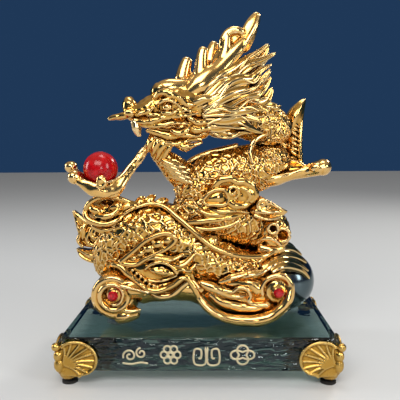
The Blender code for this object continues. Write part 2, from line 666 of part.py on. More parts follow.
def make_clouds():
    panel = rounded([(-47, 33), (-38, 24), (-30, 21), (-20, 24), (-10, 22), (-6, 27), (-12, 36),
                     (-24, 40), (-36, 41)], 2)
    add("cloud_panel_lower", GOLD, plate(panel, -26.0, 9.0, 1.5))
    swirl = [(-68, -14, 66, 3.0), (-61, -15, 72, 6.0), (-52, -15, 73, 7.0), (-42, -14, 72, 5.0)]
    add("cloud_swirl_left", GOLD, joined(tube(swirl, 9), blob((-56, -18, 62), (9.0, 6.0, 5.0))))
    tail = rounded([(-46, 58), (-58, 62), (-68, 62), (-78, 70), (-74, 52), (-66, 46), (-77, 41),
                    (-70, 34), (-60, 31), (-50, 34)], 2)
    add("tail_fin", GOLD, plate(tail, 2.0, 9.0, 1.5))
    add("cloud_scroll_middle", GOLD, blob((22, -20, 79), (17.0, 10.0, 11.5), -8))
    roll = joined(disc((47, -16, 56), 8.2, 16.0, 20, "Y", 1.0),
                  tube([(30, -16, 52, 4.0), (40, -17.3, 48.5, 4.0), (50, -16, 49, 3.0)], 6, 2))
    bore = disc((48, -24, 56.4), 3.4, 9.0, 12, "Y")
    add("hollow_scroll", GOLD, boolean(roll, bore, "DIFFERENCE"))


def make_dowels():
    """Cast-in register pins across the hidden glue joints."""
    for name, low, high in (("dowel_head", (8, -6, 129), (20, -4, 128)),
                            ("dowel_neck", (51, 8, 114), (50, 8, 104)),
                            ("dowel_waist", (-1, -8, 86), (-2, -8, 75)),
                            ("dowel_coil", (4, -13, 30), (4, -13, 18))):
        add(name, STEEL, tube([(*low, DOWEL_RADIUS), (*high, DOWEL_RADIUS)], 2, 2))


# ---------------------------------------------------------------- the whole object, hidden pieces first
make_plinth()
make_feet()
make_bond_pads()
make_stones()
make_bead()
make_dowels()
make_ball()
make_scoop()
make_keel()
make_finger()
make_head()
make_antlers()
make_limbs()
make_ball_claw()
make_beard()
make_ruyi()
make_body()
make_ridge()
make_clouds()
make_mane()
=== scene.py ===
import math

import bmesh
import bpy
import numpy as np
from mathutils import Matrix, Vector, noise


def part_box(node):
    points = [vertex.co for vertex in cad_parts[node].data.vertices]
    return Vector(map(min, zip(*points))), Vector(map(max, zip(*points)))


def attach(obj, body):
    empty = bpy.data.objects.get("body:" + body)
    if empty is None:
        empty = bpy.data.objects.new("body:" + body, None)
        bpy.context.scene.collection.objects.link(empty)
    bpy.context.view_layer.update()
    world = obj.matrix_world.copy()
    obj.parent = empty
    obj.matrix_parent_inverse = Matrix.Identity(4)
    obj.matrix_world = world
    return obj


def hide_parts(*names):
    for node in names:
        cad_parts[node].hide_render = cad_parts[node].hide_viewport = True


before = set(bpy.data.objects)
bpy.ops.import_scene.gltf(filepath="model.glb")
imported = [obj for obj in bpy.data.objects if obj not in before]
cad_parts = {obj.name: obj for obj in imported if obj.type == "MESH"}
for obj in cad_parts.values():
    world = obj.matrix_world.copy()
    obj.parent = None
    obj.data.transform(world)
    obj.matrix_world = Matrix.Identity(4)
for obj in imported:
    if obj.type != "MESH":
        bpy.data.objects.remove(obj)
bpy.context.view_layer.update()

mm = 0.001
seamGap = 1e-6                  # metres; points nearer than this are one point
glassLow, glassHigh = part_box("glass_plinth")
glassTop = glassHigh.z          # figure points are millimetres from the middle of the glass top
lowNode = {name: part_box(name)[0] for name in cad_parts}
highNode = {name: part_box(name)[1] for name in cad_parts}
print("stage: frame loaded,", len(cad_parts), "nodes")


# small tools for meshes
def meshOf(tool):
    mesh = bpy.data.meshes.new("shape")
    tool.to_mesh(mesh)
    tool.free()
    return mesh


def pointsOf(mesh):
    flat = np.zeros(len(mesh.vertices) * 3)
    mesh.vertices.foreach_get("co", flat)
    return flat.reshape(-1, 3)


def movePoints(mesh, points):
    mesh.vertices.foreach_set("co", points.astype(np.float32).ravel())
    mesh.update()


def closed(mesh):
    # merges the seams and poles of a mapped grid and turns the faces outwards
    tool = bmesh.new()
    tool.from_mesh(mesh)
    bmesh.ops.remove_doubles(tool, verts=tool.verts, dist=seamGap)
    bmesh.ops.dissolve_degenerate(tool, edges=tool.edges, dist=seamGap)
    bmesh.ops.recalc_face_normals(tool, faces=tool.faces)
    return meshOf(tool)


def together(*shapes):
    tool = bmesh.new()
    for shape in shapes:
        tool.from_mesh(shape)
    return meshOf(tool)


def evaluated(holder):
    bpy.context.scene.collection.objects.link(holder)
    mesh = bpy.data.meshes.new_from_object(holder.evaluated_get(bpy.context.evaluated_depsgraph_get()))
    bpy.data.objects.remove(holder, do_unlink=True)
    return mesh


def fused(shapes, voxel, easing):
    # one cast skin over several shapes, from cells of this size in mm, then eased this many times
    holder = bpy.data.objects.new("holder", together(*shapes))
    skin = holder.modifiers.new("skin", "REMESH")
    skin.mode = "VOXEL"
    skin.voxel_size = voxel * mm
    ease = holder.modifiers.new("ease", "SMOOTH")
    ease.factor = 0.5
    ease.iterations = easing
    return evaluated(holder)


def wobble(mesh, size, depth):
    # the hand-modelled unevenness of a cast surface, which breaks up its reflections
    mesh.update()
    normals = np.zeros(len(mesh.vertices) * 3)
    mesh.vertices.foreach_get("normal", normals)
    points = pointsOf(mesh)
    field = [noise.noise(Vector(point) / (size * mm)) for point in points]
    movePoints(mesh, points + normals.reshape(-1, 3) * (np.array(field) * depth * mm)[:, None])
    return mesh


def reach(points, count):
    # smooth samples through a list of equally long tuples
    keys = np.array(points, float)
    last = len(keys) - 1
    t = np.linspace(0, last, count)
    index = np.minimum(t.astype(int), last - 1)
    t = (t - index)[:, None]
    a, b, c, d = (keys[np.clip(index + shift, 0, last)] for shift in (-1, 0, 1, 2))
    curve = 2 * b + (c - a) * t + (2 * a - 5 * b + 4 * c - d) * t ** 2 + (3 * b - a - 3 * c + d) * t ** 3
    return 0.5 * curve


def sweep(stations, around, along, deep, relief=None, blunt=False):
    # a closed body along stations (x, y, z, radius); deep scales its depth towards the viewer's side
    tool = bmesh.new()
    bmesh.ops.create_grid(tool, x_segments=along, y_segments=around, size=0.5)
    mesh = meshOf(tool)
    grid = pointsOf(mesh)
    ring = np.rint((grid[:, 0] + 0.5) * along).astype(int)
    angle = (grid[:, 1] + 0.5) * 2 * math.pi
    path = reach(stations, along + 1)
    centre = path[:, :3]
    radius = np.maximum(path[:, 3], 0.02)    # the smooth curve can swing below zero at a tip
    ahead = np.gradient(centre, axis=0)
    ahead /= np.linalg.norm(ahead, axis=1)[:, None]
    viewer = np.array((0.0, -1.0, 0.0))
    front = viewer - ahead * (ahead @ viewer)[:, None]
    front /= np.linalg.norm(front, axis=1)[:, None]
    side = np.cross(ahead, front)
    travel = np.concatenate([[0], np.cumsum(np.linalg.norm(np.diff(centre, axis=0), axis=1))])
    if blunt:      # rounds a thick end over its own radius
        for end in (travel, travel[-1] - travel):
            near = np.clip(end / np.maximum(radius * 0.8, 0.01), 0, 1)
            radius = radius * np.sqrt(1 - (1 - near) ** 2)
    r = radius[ring]
    if relief:
        r = r + relief(travel[ring], angle, r)
    r = np.where((ring == 0) | (ring == along), 0.0, r)
    points = (centre[ring] + front[ring] * (np.cos(angle) * r * deep)[:, None]
              + side[ring] * (np.sin(angle) * r)[:, None])
    points[:, 2] += glassTop / mm
    movePoints(mesh, points * mm)
    return closed(mesh)


def egg(x, y, z, rx, ry, rz, turn=0.0, detail=4):
    tool = bmesh.new()
    bmesh.ops.create_icosphere(tool, subdivisions=detail, radius=mm)
    bmesh.ops.scale(tool, vec=(rx, ry, rz), verts=tool.verts)
    bmesh.ops.rotate(tool, matrix=Matrix.Rotation(math.radians(turn), 3, "Y"), verts=tool.verts)
    bmesh.ops.translate(tool, vec=(x * mm, y * mm, glassTop + z * mm), verts=tool.verts)
    return meshOf(tool)


def lock(points, width, deep, grooves, tip=0.12, around=14, along=26, root=0.5, full=0.4, wave=0.0,
         phase=0.0):
    # a strand of hair or flame: swells to its full width, then tapers to a tip, with grooves along it
    count, curls = 16, 7.5                        # points on the way, and how often a wave turns, in radians
    path = reach(points, count)
    beat = np.linspace(0, 1, count)
    path[:, 2] += wave * np.sin(beat * curls + phase) * np.sin(beat * math.pi) ** 0.5
    path[:, 1] += wave * 0.6 * np.cos(beat * curls + phase) * np.sin(beat * math.pi) ** 0.5
    stations = []
    for index, point in enumerate(path):
        t = index / (count - 1)
        if t < full:
            size = root + (1 - root) * math.sin(t / full * math.pi / 2)
        else:
            size = 1 - (1 - tip) * ((t - full) / (1 - full)) ** 1.6
        stations.append((*point, width * size))

    def flutes(travel, angle, r):
        return r * 0.15 * np.cos(angle * grooves * 2)    # grooves 0.15 of the radius deep

    return sweep(stations, around, along, deep, flutes if grooves else None)


def coiled(x, y, z, start, end, turns, first, rise=0.0, steps=None):
    # points of a flat spiral in the front view, from radius start to radius end
    count = steps or max(int(abs(turns) * 12), 6)
    points = []
    for index in range(count + 1):
        t = index / count
        r = start + (end - start) * t
        a = math.radians(first) + t * turns * 2 * math.pi
        points.append((x + r * math.cos(a), y + rise * t, z + r * math.sin(a)))
    return points


def strand(points, start, end, deep, around, along):
    # a plain round strand whose radius runs from start to end
    count = len(points)
    stations = [(*p, start + (end - start) * i / (count - 1)) for i, p in enumerate(points)]
    return sweep(stations, around, along, deep)


def scalesOver(length, width, height, backward):
    # overlapping fish scales: each is a shallow dish with a raised lip round its free end
    def pattern(travel, angle, r):
        count = max(round(2 * math.pi * float(np.median(r)) / width), 4)
        x = travel / length * (-1 if backward else 1)
        x = x + 0.16 * np.sin(angle * 4 + travel * 0.33) + 0.12 * np.sin(travel * 0.71 - angle * 7)
        y = angle / (2 * math.pi) * count + 0.22 * np.sin(travel * 0.47 + np.sin(angle * 3) * 2)
        wave = 0.14 * np.sin(travel * 0.9 + 3 * np.sin(angle * 2)) * np.sin(angle * 3 + travel * 0.35)
        wave = wave + 0.10 * np.sin(travel * 3.1 + 2 * np.sin(angle * 11)) * np.sin(angle * 23 - travel * 1.3)
        best = np.zeros_like(x)
        done = np.zeros(len(x), bool)
        for shift in (-2, -1, 0, 1, 2):
            row = np.floor(x / 0.5) + shift
            offset = 0.5 * (row % 2)
            ahead = x - row * 0.5
            away = np.sqrt(ahead ** 2 + (y - np.rint(y - offset) - offset) ** 2) / 0.64
            hit = (away < 1) & ~done
            lip = np.exp(-((away - 0.84) / 0.17) ** 2)
            best[hit] = (0.55 * lip + 0.45 * np.clip(ahead, 0, 1) / 0.64 + 0.12 * np.cos(away * 2.2))[hit]
            done |= hit
        return (best - 0.5 + wave) * height
    return pattern


def slab(outline, front, back, edge):
    # a flat outline in the front view with rounded edges, between two depths
    tool = bmesh.new()
    face = tool.faces.new([tool.verts.new((x, front, z)) for x, z in outline])
    grown = bmesh.ops.extrude_face_region(tool, geom=[face])
    moved = [part for part in grown["geom"] if isinstance(part, bmesh.types.BMVert)]
    bmesh.ops.translate(tool, vec=(0, back - front, 0), verts=moved)
    bmesh.ops.recalc_face_normals(tool, faces=tool.faces)
    bmesh.ops.bevel(tool, geom=list(tool.edges), offset=edge, segments=3, profile=0.5, affect="EDGES",
                    material=-1, clamp_overlap=True)
    bmesh.ops.scale(tool, vec=(mm, mm, mm), verts=tool.verts)
    bmesh.ops.translate(tool, vec=(0, 0, glassTop), verts=tool.verts)
    return meshOf(tool)


def ringOf(x, y, z, radius, thick, deep, first=0, turns=1.0, end=None):
    # a round cord bent into a ring, or into a curl when its end radius differs
    points = coiled(x, y, z, radius, radius if end is None else end, turns, first, 0.0, int(12 * turns) + 4)
    return strand(points, thick, thick, deep, 12, int(40 * turns) + 12)


def roundedOutline(points):
    # a closed outline drawn smoothly through its points
    steps = 4
    loop = reach([points[-1], *points, *points[:2]], (len(points) + 2) * steps + 1)
    return [tuple(point) for point in loop[steps:(len(points) + 1) * steps]]


def pillow(outline, front, back, edge, bulge):
    # a smooth outline in the front view with rounded edges; its face swells by the bulge, and a bulge
    # below zero dishes it
    rings = 8
    outline = np.array(outline)
    middle = outline.mean(axis=0)
    span = np.median(np.hypot(*(outline - middle).T))
    levels = [(1.0, back), (1.0, front + edge)]
    for step in (1, 2, 3):
        turn = step * math.pi / 6
        levels.append((1 - edge * (1 - math.cos(turn)) / span, front + edge * (1 - math.sin(turn))))
    inner = levels[-1][0]
    levels += [(inner * (1 - k / rings), front - bulge * (2 * k / rings - (k / rings) ** 2))
               for k in range(1, rings)]
    tool = bmesh.new()
    loops = []
    for size, y in levels:
        ring = middle + (outline - middle) * size
        loops.append([tool.verts.new((x * mm, y * mm, glassTop + z * mm)) for x, z in ring])
    poles = [tool.verts.new((middle[0] * mm, y * mm, glassTop + middle[1] * mm))
             for y in (back, front - bulge)]
    count = len(outline)
    for k in range(count):
        following = (k + 1) % count
        for first, second in zip(loops, loops[1:]):
            tool.faces.new((first[k], first[following], second[following], second[k]))
        tool.faces.new((loops[0][following], loops[0][k], poles[0]))
        tool.faces.new((loops[-1][k], loops[-1][following], poles[1]))
    bmesh.ops.recalc_face_normals(tool, faces=tool.faces)
    return meshOf(tool)


def leafOf(points, front, back, edge, bulge=1.2):
    return pillow(roundedOutline(points), front, back, edge, bulge)


def discOf(x, z, radius, front, back, edge, bulge):
    angles = [k * math.pi / 24 for k in range(48)]
    return pillow([(x + radius * math.cos(a), z + radius * math.sin(a)) for a in angles], front, back, edge,
                  bulge)


def mirrored(mesh, depth):
    # a copy on the other side of an upright plane at this depth
    tool = bmesh.new()
    tool.from_mesh(mesh)
    bmesh.ops.scale(tool, vec=(1, -1, 1), verts=tool.verts)
    bmesh.ops.translate(tool, vec=(0, 2 * depth * mm, 0), verts=tool.verts)
    bmesh.ops.reverse_faces(tool, faces=tool.faces)
    return meshOf(tool)


def dented(mesh, x, y, z, rx, ry, rz):
    # presses the part of a surface inside an egg shape back onto its rear side
    points = pointsOf(mesh)
    away = 1 - ((points[:, 0] / mm - x) / rx) ** 2 - (((points[:, 2] - glassTop) / mm - z) / rz) ** 2
    rear = (y + ry * np.sqrt(np.clip(away, 0, 1))) * mm
    inside = (away > 0) & (points[:, 1] < rear) & (points[:, 1] > (y - ry) * mm)
    points[:, 1] = np.where(inside, rear, points[:, 1])
    movePoints(mesh, points)
    return mesh


def flattened(mesh, base):
    # nothing of the sceptre goes below the face it is glued by
    points = pointsOf(mesh)
    points[:, 2] = np.maximum(points[:, 2], base)
    movePoints(mesh, points)
    return mesh


def finishPiece(name, mesh, material, replaced=(), body="stand"):
    mesh.materials.clear()
    mesh.materials.append(material)
    mesh.shade_smooth()
    mesh.name = name
    piece = bpy.data.objects.new(name, mesh)
    bpy.context.scene.collection.objects.link(piece)
    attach(piece, body)
    if replaced:
        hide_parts(*replaced)
    return piece


# materials
def linear(code):
    values = [int(code[i:i + 2], 16) / 255 for i in (1, 3, 5)]
    return (*[v / 12.92 if v <= 0.04045 else ((v + 0.055) / 1.055) ** 2.4 for v in values], 1.0)


def addNode(tree, kind, settings=None, links=None):
    node = tree.nodes.new(kind)
    for key, value in (settings or {}).items():
        if isinstance(key, int) or key in node.inputs:
            node.inputs[key].default_value = value
        else:
            setattr(node, key, value)
    for key, source in (links or {}).items():
        tree.links.new(source, node.inputs[key])
    return node


def newMaterial(name):
    material = bpy.data.materials.new(name)
    material.use_nodes = True
    tree = material.node_tree
    return material, tree, tree.nodes["Principled BSDF"]


# patch, peel, reach in mm; reach is how far the painted shade in recesses looks for nearby surfaces
goldLook = {"paintedRecessShade": "#4E3010", "paintedHollowShade": "#98662A", "middle": "#DAA44C", "crest": "#F6DAA0",
            "roughLow": 0.09, "roughHigh": 0.17, "patch": 9, "peel": 0.9, "peelDepth": 0.10, "reach": 3.0}


def platedGold(name, look):
    # gold electroplate over cast resin, with a faint orange peel from the lacquer under it; its colour is
    # painted
    # light and shade: a painted highlight on the crests, and painted shade, deeper and redder, in the hollows
    # and recesses
    material, tree, shader = newMaterial(name)
    place = addNode(tree, "ShaderNodeTexCoord")
    shape = addNode(tree, "ShaderNodeNewGeometry")
    patch = addNode(tree, "ShaderNodeTexNoise", {"Scale": 1 / (look["patch"] * mm), "Detail": 3.0},
                    {"Vector": place.outputs["Object"]})
    peel = addNode(tree, "ShaderNodeTexNoise", {"Scale": 1 / (look["peel"] * mm), "Detail": 2.0},
                   {"Vector": place.outputs["Object"]})
    # by pointiness: painted shade in the concave hollows and a painted highlight on the convex crests
    ramp = addNode(tree, "ShaderNodeValToRGB", None, {"Fac": shape.outputs["Pointiness"]})
    ramp.color_ramp.elements[0].position = 0.44
    ramp.color_ramp.elements[0].color = linear(look["paintedHollowShade"])
    ramp.color_ramp.elements[1].position = 0.57
    ramp.color_ramp.elements[1].color = linear(look["crest"])
    middle = ramp.color_ramp.elements.new(0.495)
    middle.color = linear(look["middle"])
    rough = addNode(tree, "ShaderNodeMapRange", {"To Min": look["roughLow"], "To Max": look["roughHigh"]},
                    {"Value": patch.outputs["Fac"]})
    bump = addNode(tree, "ShaderNodeBump", {"Strength": look["peelDepth"], "Distance": 0.2 * mm},
                   {"Height": peel.outputs["Fac"]})
    # ambient occlusion paints a darker shade into the recesses
    recessOcclusion = addNode(tree, "ShaderNodeAmbientOcclusion", {"samples": 6, "Distance": look["reach"] * mm})
    unshadedAmount = addNode(tree, "ShaderNodeMapRange", {"From Min": 0.30, "From Max": 0.80},
                       {"Value": recessOcclusion.outputs["AO"]})
    shadedColour = addNode(tree, "ShaderNodeMix", {"data_type": "RGBA"}, {"Factor": unshadedAmount.outputs["Result"]})
    shadedColour.inputs[6].default_value = linear(look["paintedRecessShade"])
    tree.links.new(ramp.outputs["Color"], shadedColour.inputs[7])
    shader.inputs["Metallic"].default_value = 1.0
    tree.links.new(shadedColour.outputs[2], shader.inputs["Base Color"])
    tree.links.new(rough.outputs["Result"], shader.inputs["Roughness"])
    tree.links.new(bump.outputs["Normal"], shader.inputs["Normal"])
    return material


glassLook = {"tint": "#DDF0E8", "depth": "#4F9488", "density": 26.0, "roughness": 0.015, "waveWide": 9,
             "waveHigh": 2.6, "waveDepth": 1.5, "underWaves": 0.10}    # waves in mm


def tintedGlass(look):
    # float glass with polished edges: clear through its thickness, green where the light travels along it;
    # the front face is wavy and breaks up what is seen through it, and the underside a little
    material, tree, shader = newMaterial("greenFloatGlass")
    place = addNode(tree, "ShaderNodeTexCoord")
    stretch = addNode(tree, "ShaderNodeMapping",
                      {"Scale": (1 / (look["waveWide"] * mm), 1 / (look["waveWide"] * mm),
                                 1 / (look["waveHigh"] * mm))},
                      {"Vector": place.outputs["Object"]})
    ripple = addNode(tree, "ShaderNodeTexNoise", {"Scale": 1.0, "Detail": 1.0, "Distortion": 0.4},
                     {"Vector": stretch.outputs["Vector"]})
    level = addNode(tree, "ShaderNodeSeparateXYZ", None, {"Vector": place.outputs["Object"]})
    under = addNode(tree, "ShaderNodeMapRange", {"From Min": glassLow.z + 0.6 * mm,
                                                 "From Max": glassLow.z + 0.3 * mm,
                                                 "To Max": look["underWaves"]},
                    {"Value": level.outputs["Z"]})
    face = addNode(tree, "ShaderNodeMapRange", {"From Min": glassLow.y + 0.5 * mm,
                                                "From Max": glassLow.y + 0.2 * mm},
                   {"Value": level.outputs["Y"]})
    rippled = addNode(tree, "ShaderNodeMath", {"operation": "MAXIMUM"},
                      {0: under.outputs["Result"], 1: face.outputs["Result"]})
    bump = addNode(tree, "ShaderNodeBump", {"Distance": look["waveDepth"] * mm},
                   {"Height": ripple.outputs["Fac"], "Strength": rippled.outputs["Value"]})
    shader.inputs["Base Color"].default_value = linear(look["tint"])
    shader.inputs["Roughness"].default_value = look["roughness"]
    shader.inputs["IOR"].default_value = 1.52
    shader.inputs["Transmission Weight"].default_value = 1.0
    tree.links.new(bump.outputs["Normal"], shader.inputs["Normal"])
    body = addNode(tree, "ShaderNodeVolumeAbsorption",
                   {"Color": linear(look["depth"]), "Density": look["density"]})
    tree.links.new(body.outputs["Volume"], tree.nodes["Material Output"].inputs["Volume"])
    return material


beadLook = {"dark": "#940107", "pale": "#C80E14", "cloud": 3.5, "roughness": 0.2, "boreGap": 0.35,
            "boreEdge": 0.4, "boreRound": 0.6, "steps": 32, "around": 72}    # cloud and bore sizes in mm


def redBeadResin(look):
    # cast and polished resin: deep cherry red, with paler clouds just under a soft gloss
    material, tree, shader = newMaterial("cherryRedResin")
    place = addNode(tree, "ShaderNodeTexCoord")
    cloud = addNode(tree, "ShaderNodeTexNoise",
                    {"Scale": 1 / (look["cloud"] * mm), "Detail": 5.0, "Roughness": 0.7},
                    {"Vector": place.outputs["Object"]})
    ramp = addNode(tree, "ShaderNodeValToRGB", None, {"Fac": cloud.outputs["Fac"]})
    ramp.color_ramp.elements[0].position = 0.35
    ramp.color_ramp.elements[0].color = linear(look["dark"])
    ramp.color_ramp.elements[1].position = 0.72
    ramp.color_ramp.elements[1].color = linear(look["pale"])
    tree.links.new(ramp.outputs["Color"], shader.inputs["Base Color"])
    shader.inputs["Roughness"].default_value = look["roughness"]
    shader.inputs["IOR"].default_value = 1.54
    shader.inputs["Subsurface Weight"].default_value = 0.15
    shader.inputs["Subsurface Radius"].default_value = (0.006, 0.0006, 0.0006)
    shader.inputs["Specular IOR Level"].default_value = 0.35
    return material


# spark in mm, the size of the painted flash cells; the cut in parts of the stone's radius
stoneLook = {"bright": "#E0141C", "dark": "#6E0008", "spark": 1.6, "facets": 12, "table": 0.55,
             "crown": 0.42, "point": 0.3, "pavilion": 0.6}


def redStone(look):
    # foil-backed moulded acrylic, a clear red; its colour is a painted flash, paler in cells where facets
    # would catch the light and painted shade darker in others
    material, tree, shader = newMaterial("redRhinestone")
    place = addNode(tree, "ShaderNodeTexCoord")
    grain = addNode(tree, "ShaderNodeTexVoronoi", {"Scale": 1 / (look["spark"] * mm)},
                    {"Vector": place.outputs["Object"]})
    # paler cells are painted flashes of light, darker cells painted shade
    ramp = addNode(tree, "ShaderNodeValToRGB", None, {"Fac": grain.outputs["Distance"]})
    ramp.color_ramp.elements[0].color = linear(look["bright"])
    ramp.color_ramp.elements[1].color = linear(look["dark"])
    tree.links.new(ramp.outputs["Color"], shader.inputs["Base Color"])
    shader.inputs["Roughness"].default_value = 0.04
    shader.inputs["Metallic"].default_value = 0.25
    shader.inputs["Coat Weight"].default_value = 0.3
    shader.inputs["Coat Roughness"].default_value = 0.02
    return material


def plainGrain(name, low, high, size, roughness, metallic=0.0, clear=0.0):
    # small hidden pieces: pressed felt is dark and dull, cured adhesive is nearly clear, and drawn steel
    # is grey and shiny
    material, tree, shader = newMaterial(name)
    place = addNode(tree, "ShaderNodeTexCoord")
    grain = addNode(tree, "ShaderNodeTexNoise", {"Scale": 1 / (size * mm), "Detail": 6.0},
                    {"Vector": place.outputs["Object"]})
    ramp = addNode(tree, "ShaderNodeValToRGB", None, {"Fac": grain.outputs["Fac"]})
    ramp.color_ramp.elements[0].color = linear(low)
    ramp.color_ramp.elements[1].color = linear(high)
    bump = addNode(tree, "ShaderNodeBump", {"Strength": 0.3, "Distance": 0.1 * mm},
                   {"Height": grain.outputs["Fac"]})
    tree.links.new(ramp.outputs["Color"], shader.inputs["Base Color"])
    tree.links.new(bump.outputs["Normal"], shader.inputs["Normal"])
    shader.inputs["Roughness"].default_value = roughness
    shader.inputs["Metallic"].default_value = metallic
    shader.inputs["Transmission Weight"].default_value = clear
    return material


# each gold below carries the same painted shade in its hollows and recesses and painted highlight on its
# crests
gold = platedGold("goldElectroplate", goldLook)
smoothGold = platedGold("polishedGoldElectroplate",
                        {**goldLook, "middle": "#E8B460", "crest": "#FDE4B2", "roughLow": 0.13,
                         "roughHigh": 0.20, "peelDepth": 0.04})
footGold = platedGold("platedDiecast", {**goldLook, "paintedRecessShade": "#2E200A", "paintedHollowShade": "#5C4214",
                                        "middle": "#C0923E", "crest": "#E8CC84", "roughLow": 0.20,
                                        "roughHigh": 0.34, "peelDepth": 0.25})
# the ball's dark slate plating is a painted reflection of the dark blue surroundings
paintedSlateReflectionGold = platedGold("paintedSlateReflectionPlating", {**goldLook, "paintedRecessShade": "#1E2426", "paintedHollowShade": "#465256",
                                          "middle": "#566468", "crest": "#7A868A", "roughLow": 0.16,
                                          "roughHigh": 0.22, "peelDepth": 0.03})
inlayGold = platedGold("gildedEngraving", {**goldLook, "paintedRecessShade": "#B49A68", "paintedHollowShade": "#B49A68",
                                           "middle": "#D8C69A", "crest": "#EFE2BE", "roughLow": 0.34,
                                           "roughHigh": 0.5, "peelDepth": 0.4})
glass = tintedGlass(glassLook)
beadRed = redBeadResin(beadLook)
stoneRed = redStone(stoneLook)
felt = plainGrain("darkFelt", "#14120F", "#2A2622", 0.4, 0.95)
adhesive = plainGrain("curedAdhesive", "#D9D6C8", "#F2F0E8", 0.8, 0.2, clear=0.95)    # clears as it cures
steel = plainGrain("drawnSteel", "#8A8680", "#B4B0AA", 0.5, 0.3, 1.0)
print("stage: materials made")


# camera and stage
# place in mm, turns in degrees
view = {"lens": 47.61, "x": 7.1, "y": -337.5, "z": 136.9, "left": 1.09, "down": 5.81, "roll": 0.32}


def setCamera(look):
    data = bpy.data.cameras.new("camera")
    data.lens = look["lens"]
    data.sensor_width = 36
    data.clip_start = 0.01
    holder = bpy.data.objects.new("camera", data)
    turn = (Matrix.Rotation(math.radians(look["left"]), 4, "Z")
            @ Matrix.Rotation(math.radians(90 - look["down"]), 4, "X")
            @ Matrix.Rotation(math.radians(-look["roll"]), 4, "Z"))
    holder.matrix_world = Matrix.Translation((look["x"] * mm, look["y"] * mm, look["z"] * mm)) @ turn
    bpy.context.scene.collection.objects.link(holder)
    bpy.context.scene.camera = holder


stage = {"floor": "#CFD2D4", "sky": "#2C4C74", "ceiling": "#E4DCCE", "skyFrom": 0.36, "skyTo": 0.88,
         "skyPower": 0.55, "floorHalf": 2.5, "aimHeight": 0.10}    # metres
softboxes = [  # name, place (m), size (m), watts, colour
    ("keyBox", (-0.20, -0.85, 0.85), (0.80, 0.50), 8, "#FFFBF6"),
    ("fillBox", (0.85, -0.60, 0.45), (0.22, 0.50), 3.4, "#FFFFFF"),
    ("topBox", (0.05, 0.10, 1.05), (0.40, 0.30), 2.2, "#FFFFFF"),
    ("rimBox", (0.60, 0.60, 0.65), (0.18, 0.18), 2.4, "#FFFAF2"),
    ("sideBox", (-0.95, 0.05, 0.35), (0.20, 0.46), 2.8, "#FFFFFF"),
    ("frontBox", (0.30, -1.20, 0.30), (0.24, 0.16), 1.8, "#FFFFFF"),
]


def setStage(look):
    # a matt pale floor, a blue wall fading into a warm ceiling, and soft lamps that streak the gold
    tool = bmesh.new()
    bmesh.ops.create_grid(tool, x_segments=4, y_segments=4, size=look["floorHalf"])
    mesh = meshOf(tool)
    material, tree, shader = newMaterial("paleFloor")
    place = addNode(tree, "ShaderNodeTexCoord")
    grain = addNode(tree, "ShaderNodeTexNoise", {"Scale": 1 / (2 * mm)}, {"Vector": place.outputs["Object"]})
    bump = addNode(tree, "ShaderNodeBump", {"Strength": 0.05, "Distance": 0.1 * mm},
                   {"Height": grain.outputs["Fac"]})
    shader.inputs["Base Color"].default_value = linear(look["floor"])
    shader.inputs["Roughness"].default_value = 0.6
    tree.links.new(bump.outputs["Normal"], shader.inputs["Normal"])
    mesh.materials.append(material)
    floor = bpy.data.objects.new("floor", mesh)
    bpy.context.scene.collection.objects.link(floor)
    world = bpy.data.worlds.new("studio")
    bpy.context.scene.world = world
    world.use_nodes = True
    tree = world.node_tree
    place = addNode(tree, "ShaderNodeTexCoord")
    height = addNode(tree, "ShaderNodeSeparateXYZ", None, {"Vector": place.outputs["Generated"]})
    ramp = addNode(tree, "ShaderNodeValToRGB", None, {"Fac": height.outputs["Z"]})
    ramp.color_ramp.elements[0].position = look["skyFrom"]
    ramp.color_ramp.elements[0].color = linear(look["sky"])
    ramp.color_ramp.elements[1].position = look["skyTo"]
    ramp.color_ramp.elements[1].color = linear(look["ceiling"])
    backdrop = tree.nodes["Background"]
    tree.links.new(ramp.outputs["Color"], backdrop.inputs["Color"])
    backdrop.inputs["Strength"].default_value = look["skyPower"]
    for name, place, size, watts, colour in softboxes:
        lamp = bpy.data.lights.new(name, "AREA")
        lamp.shape = "RECTANGLE"
        lamp.size, lamp.size_y = size
        lamp.energy = watts
        lamp.color = linear(colour)[:3]
        holder = bpy.data.objects.new(name, lamp)
        aim = Vector((0, 0, look["aimHeight"])) - Vector(place)
        holder.matrix_world = Matrix.Translation(place) @ aim.to_track_quat("-Z", "Y").to_matrix().to_4x4()
        bpy.context.scene.collection.objects.link(holder)


setCamera(view)
setStage(stage)
bpy.context.scene.view_settings.view_transform = "Standard"
print("stage: camera, floor and lights set")


# the plinth
def dress(name, material):
    mesh = bpy.data.objects[name].data
    mesh.materials.clear()
    mesh.materials.append(material)


carried = {"glass_plinth": glass, "pearl_pin": steel, "bond_pad_left": adhesive, "bond_pad_right": adhesive,
           "bond_pad_ball": adhesive}
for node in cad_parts:
    if node in carried:
        dress(node, carried[node])
    elif node.startswith("foot_pad"):
        dress(node, felt)
    elif node.startswith("dowel"):
        dress(node, steel)


# sizes in mm, and size as a factor
ornament = {"pitch": 20.6, "shift": -5.5, "size": 1.15, "line": 0.6, "lift": 0.15}


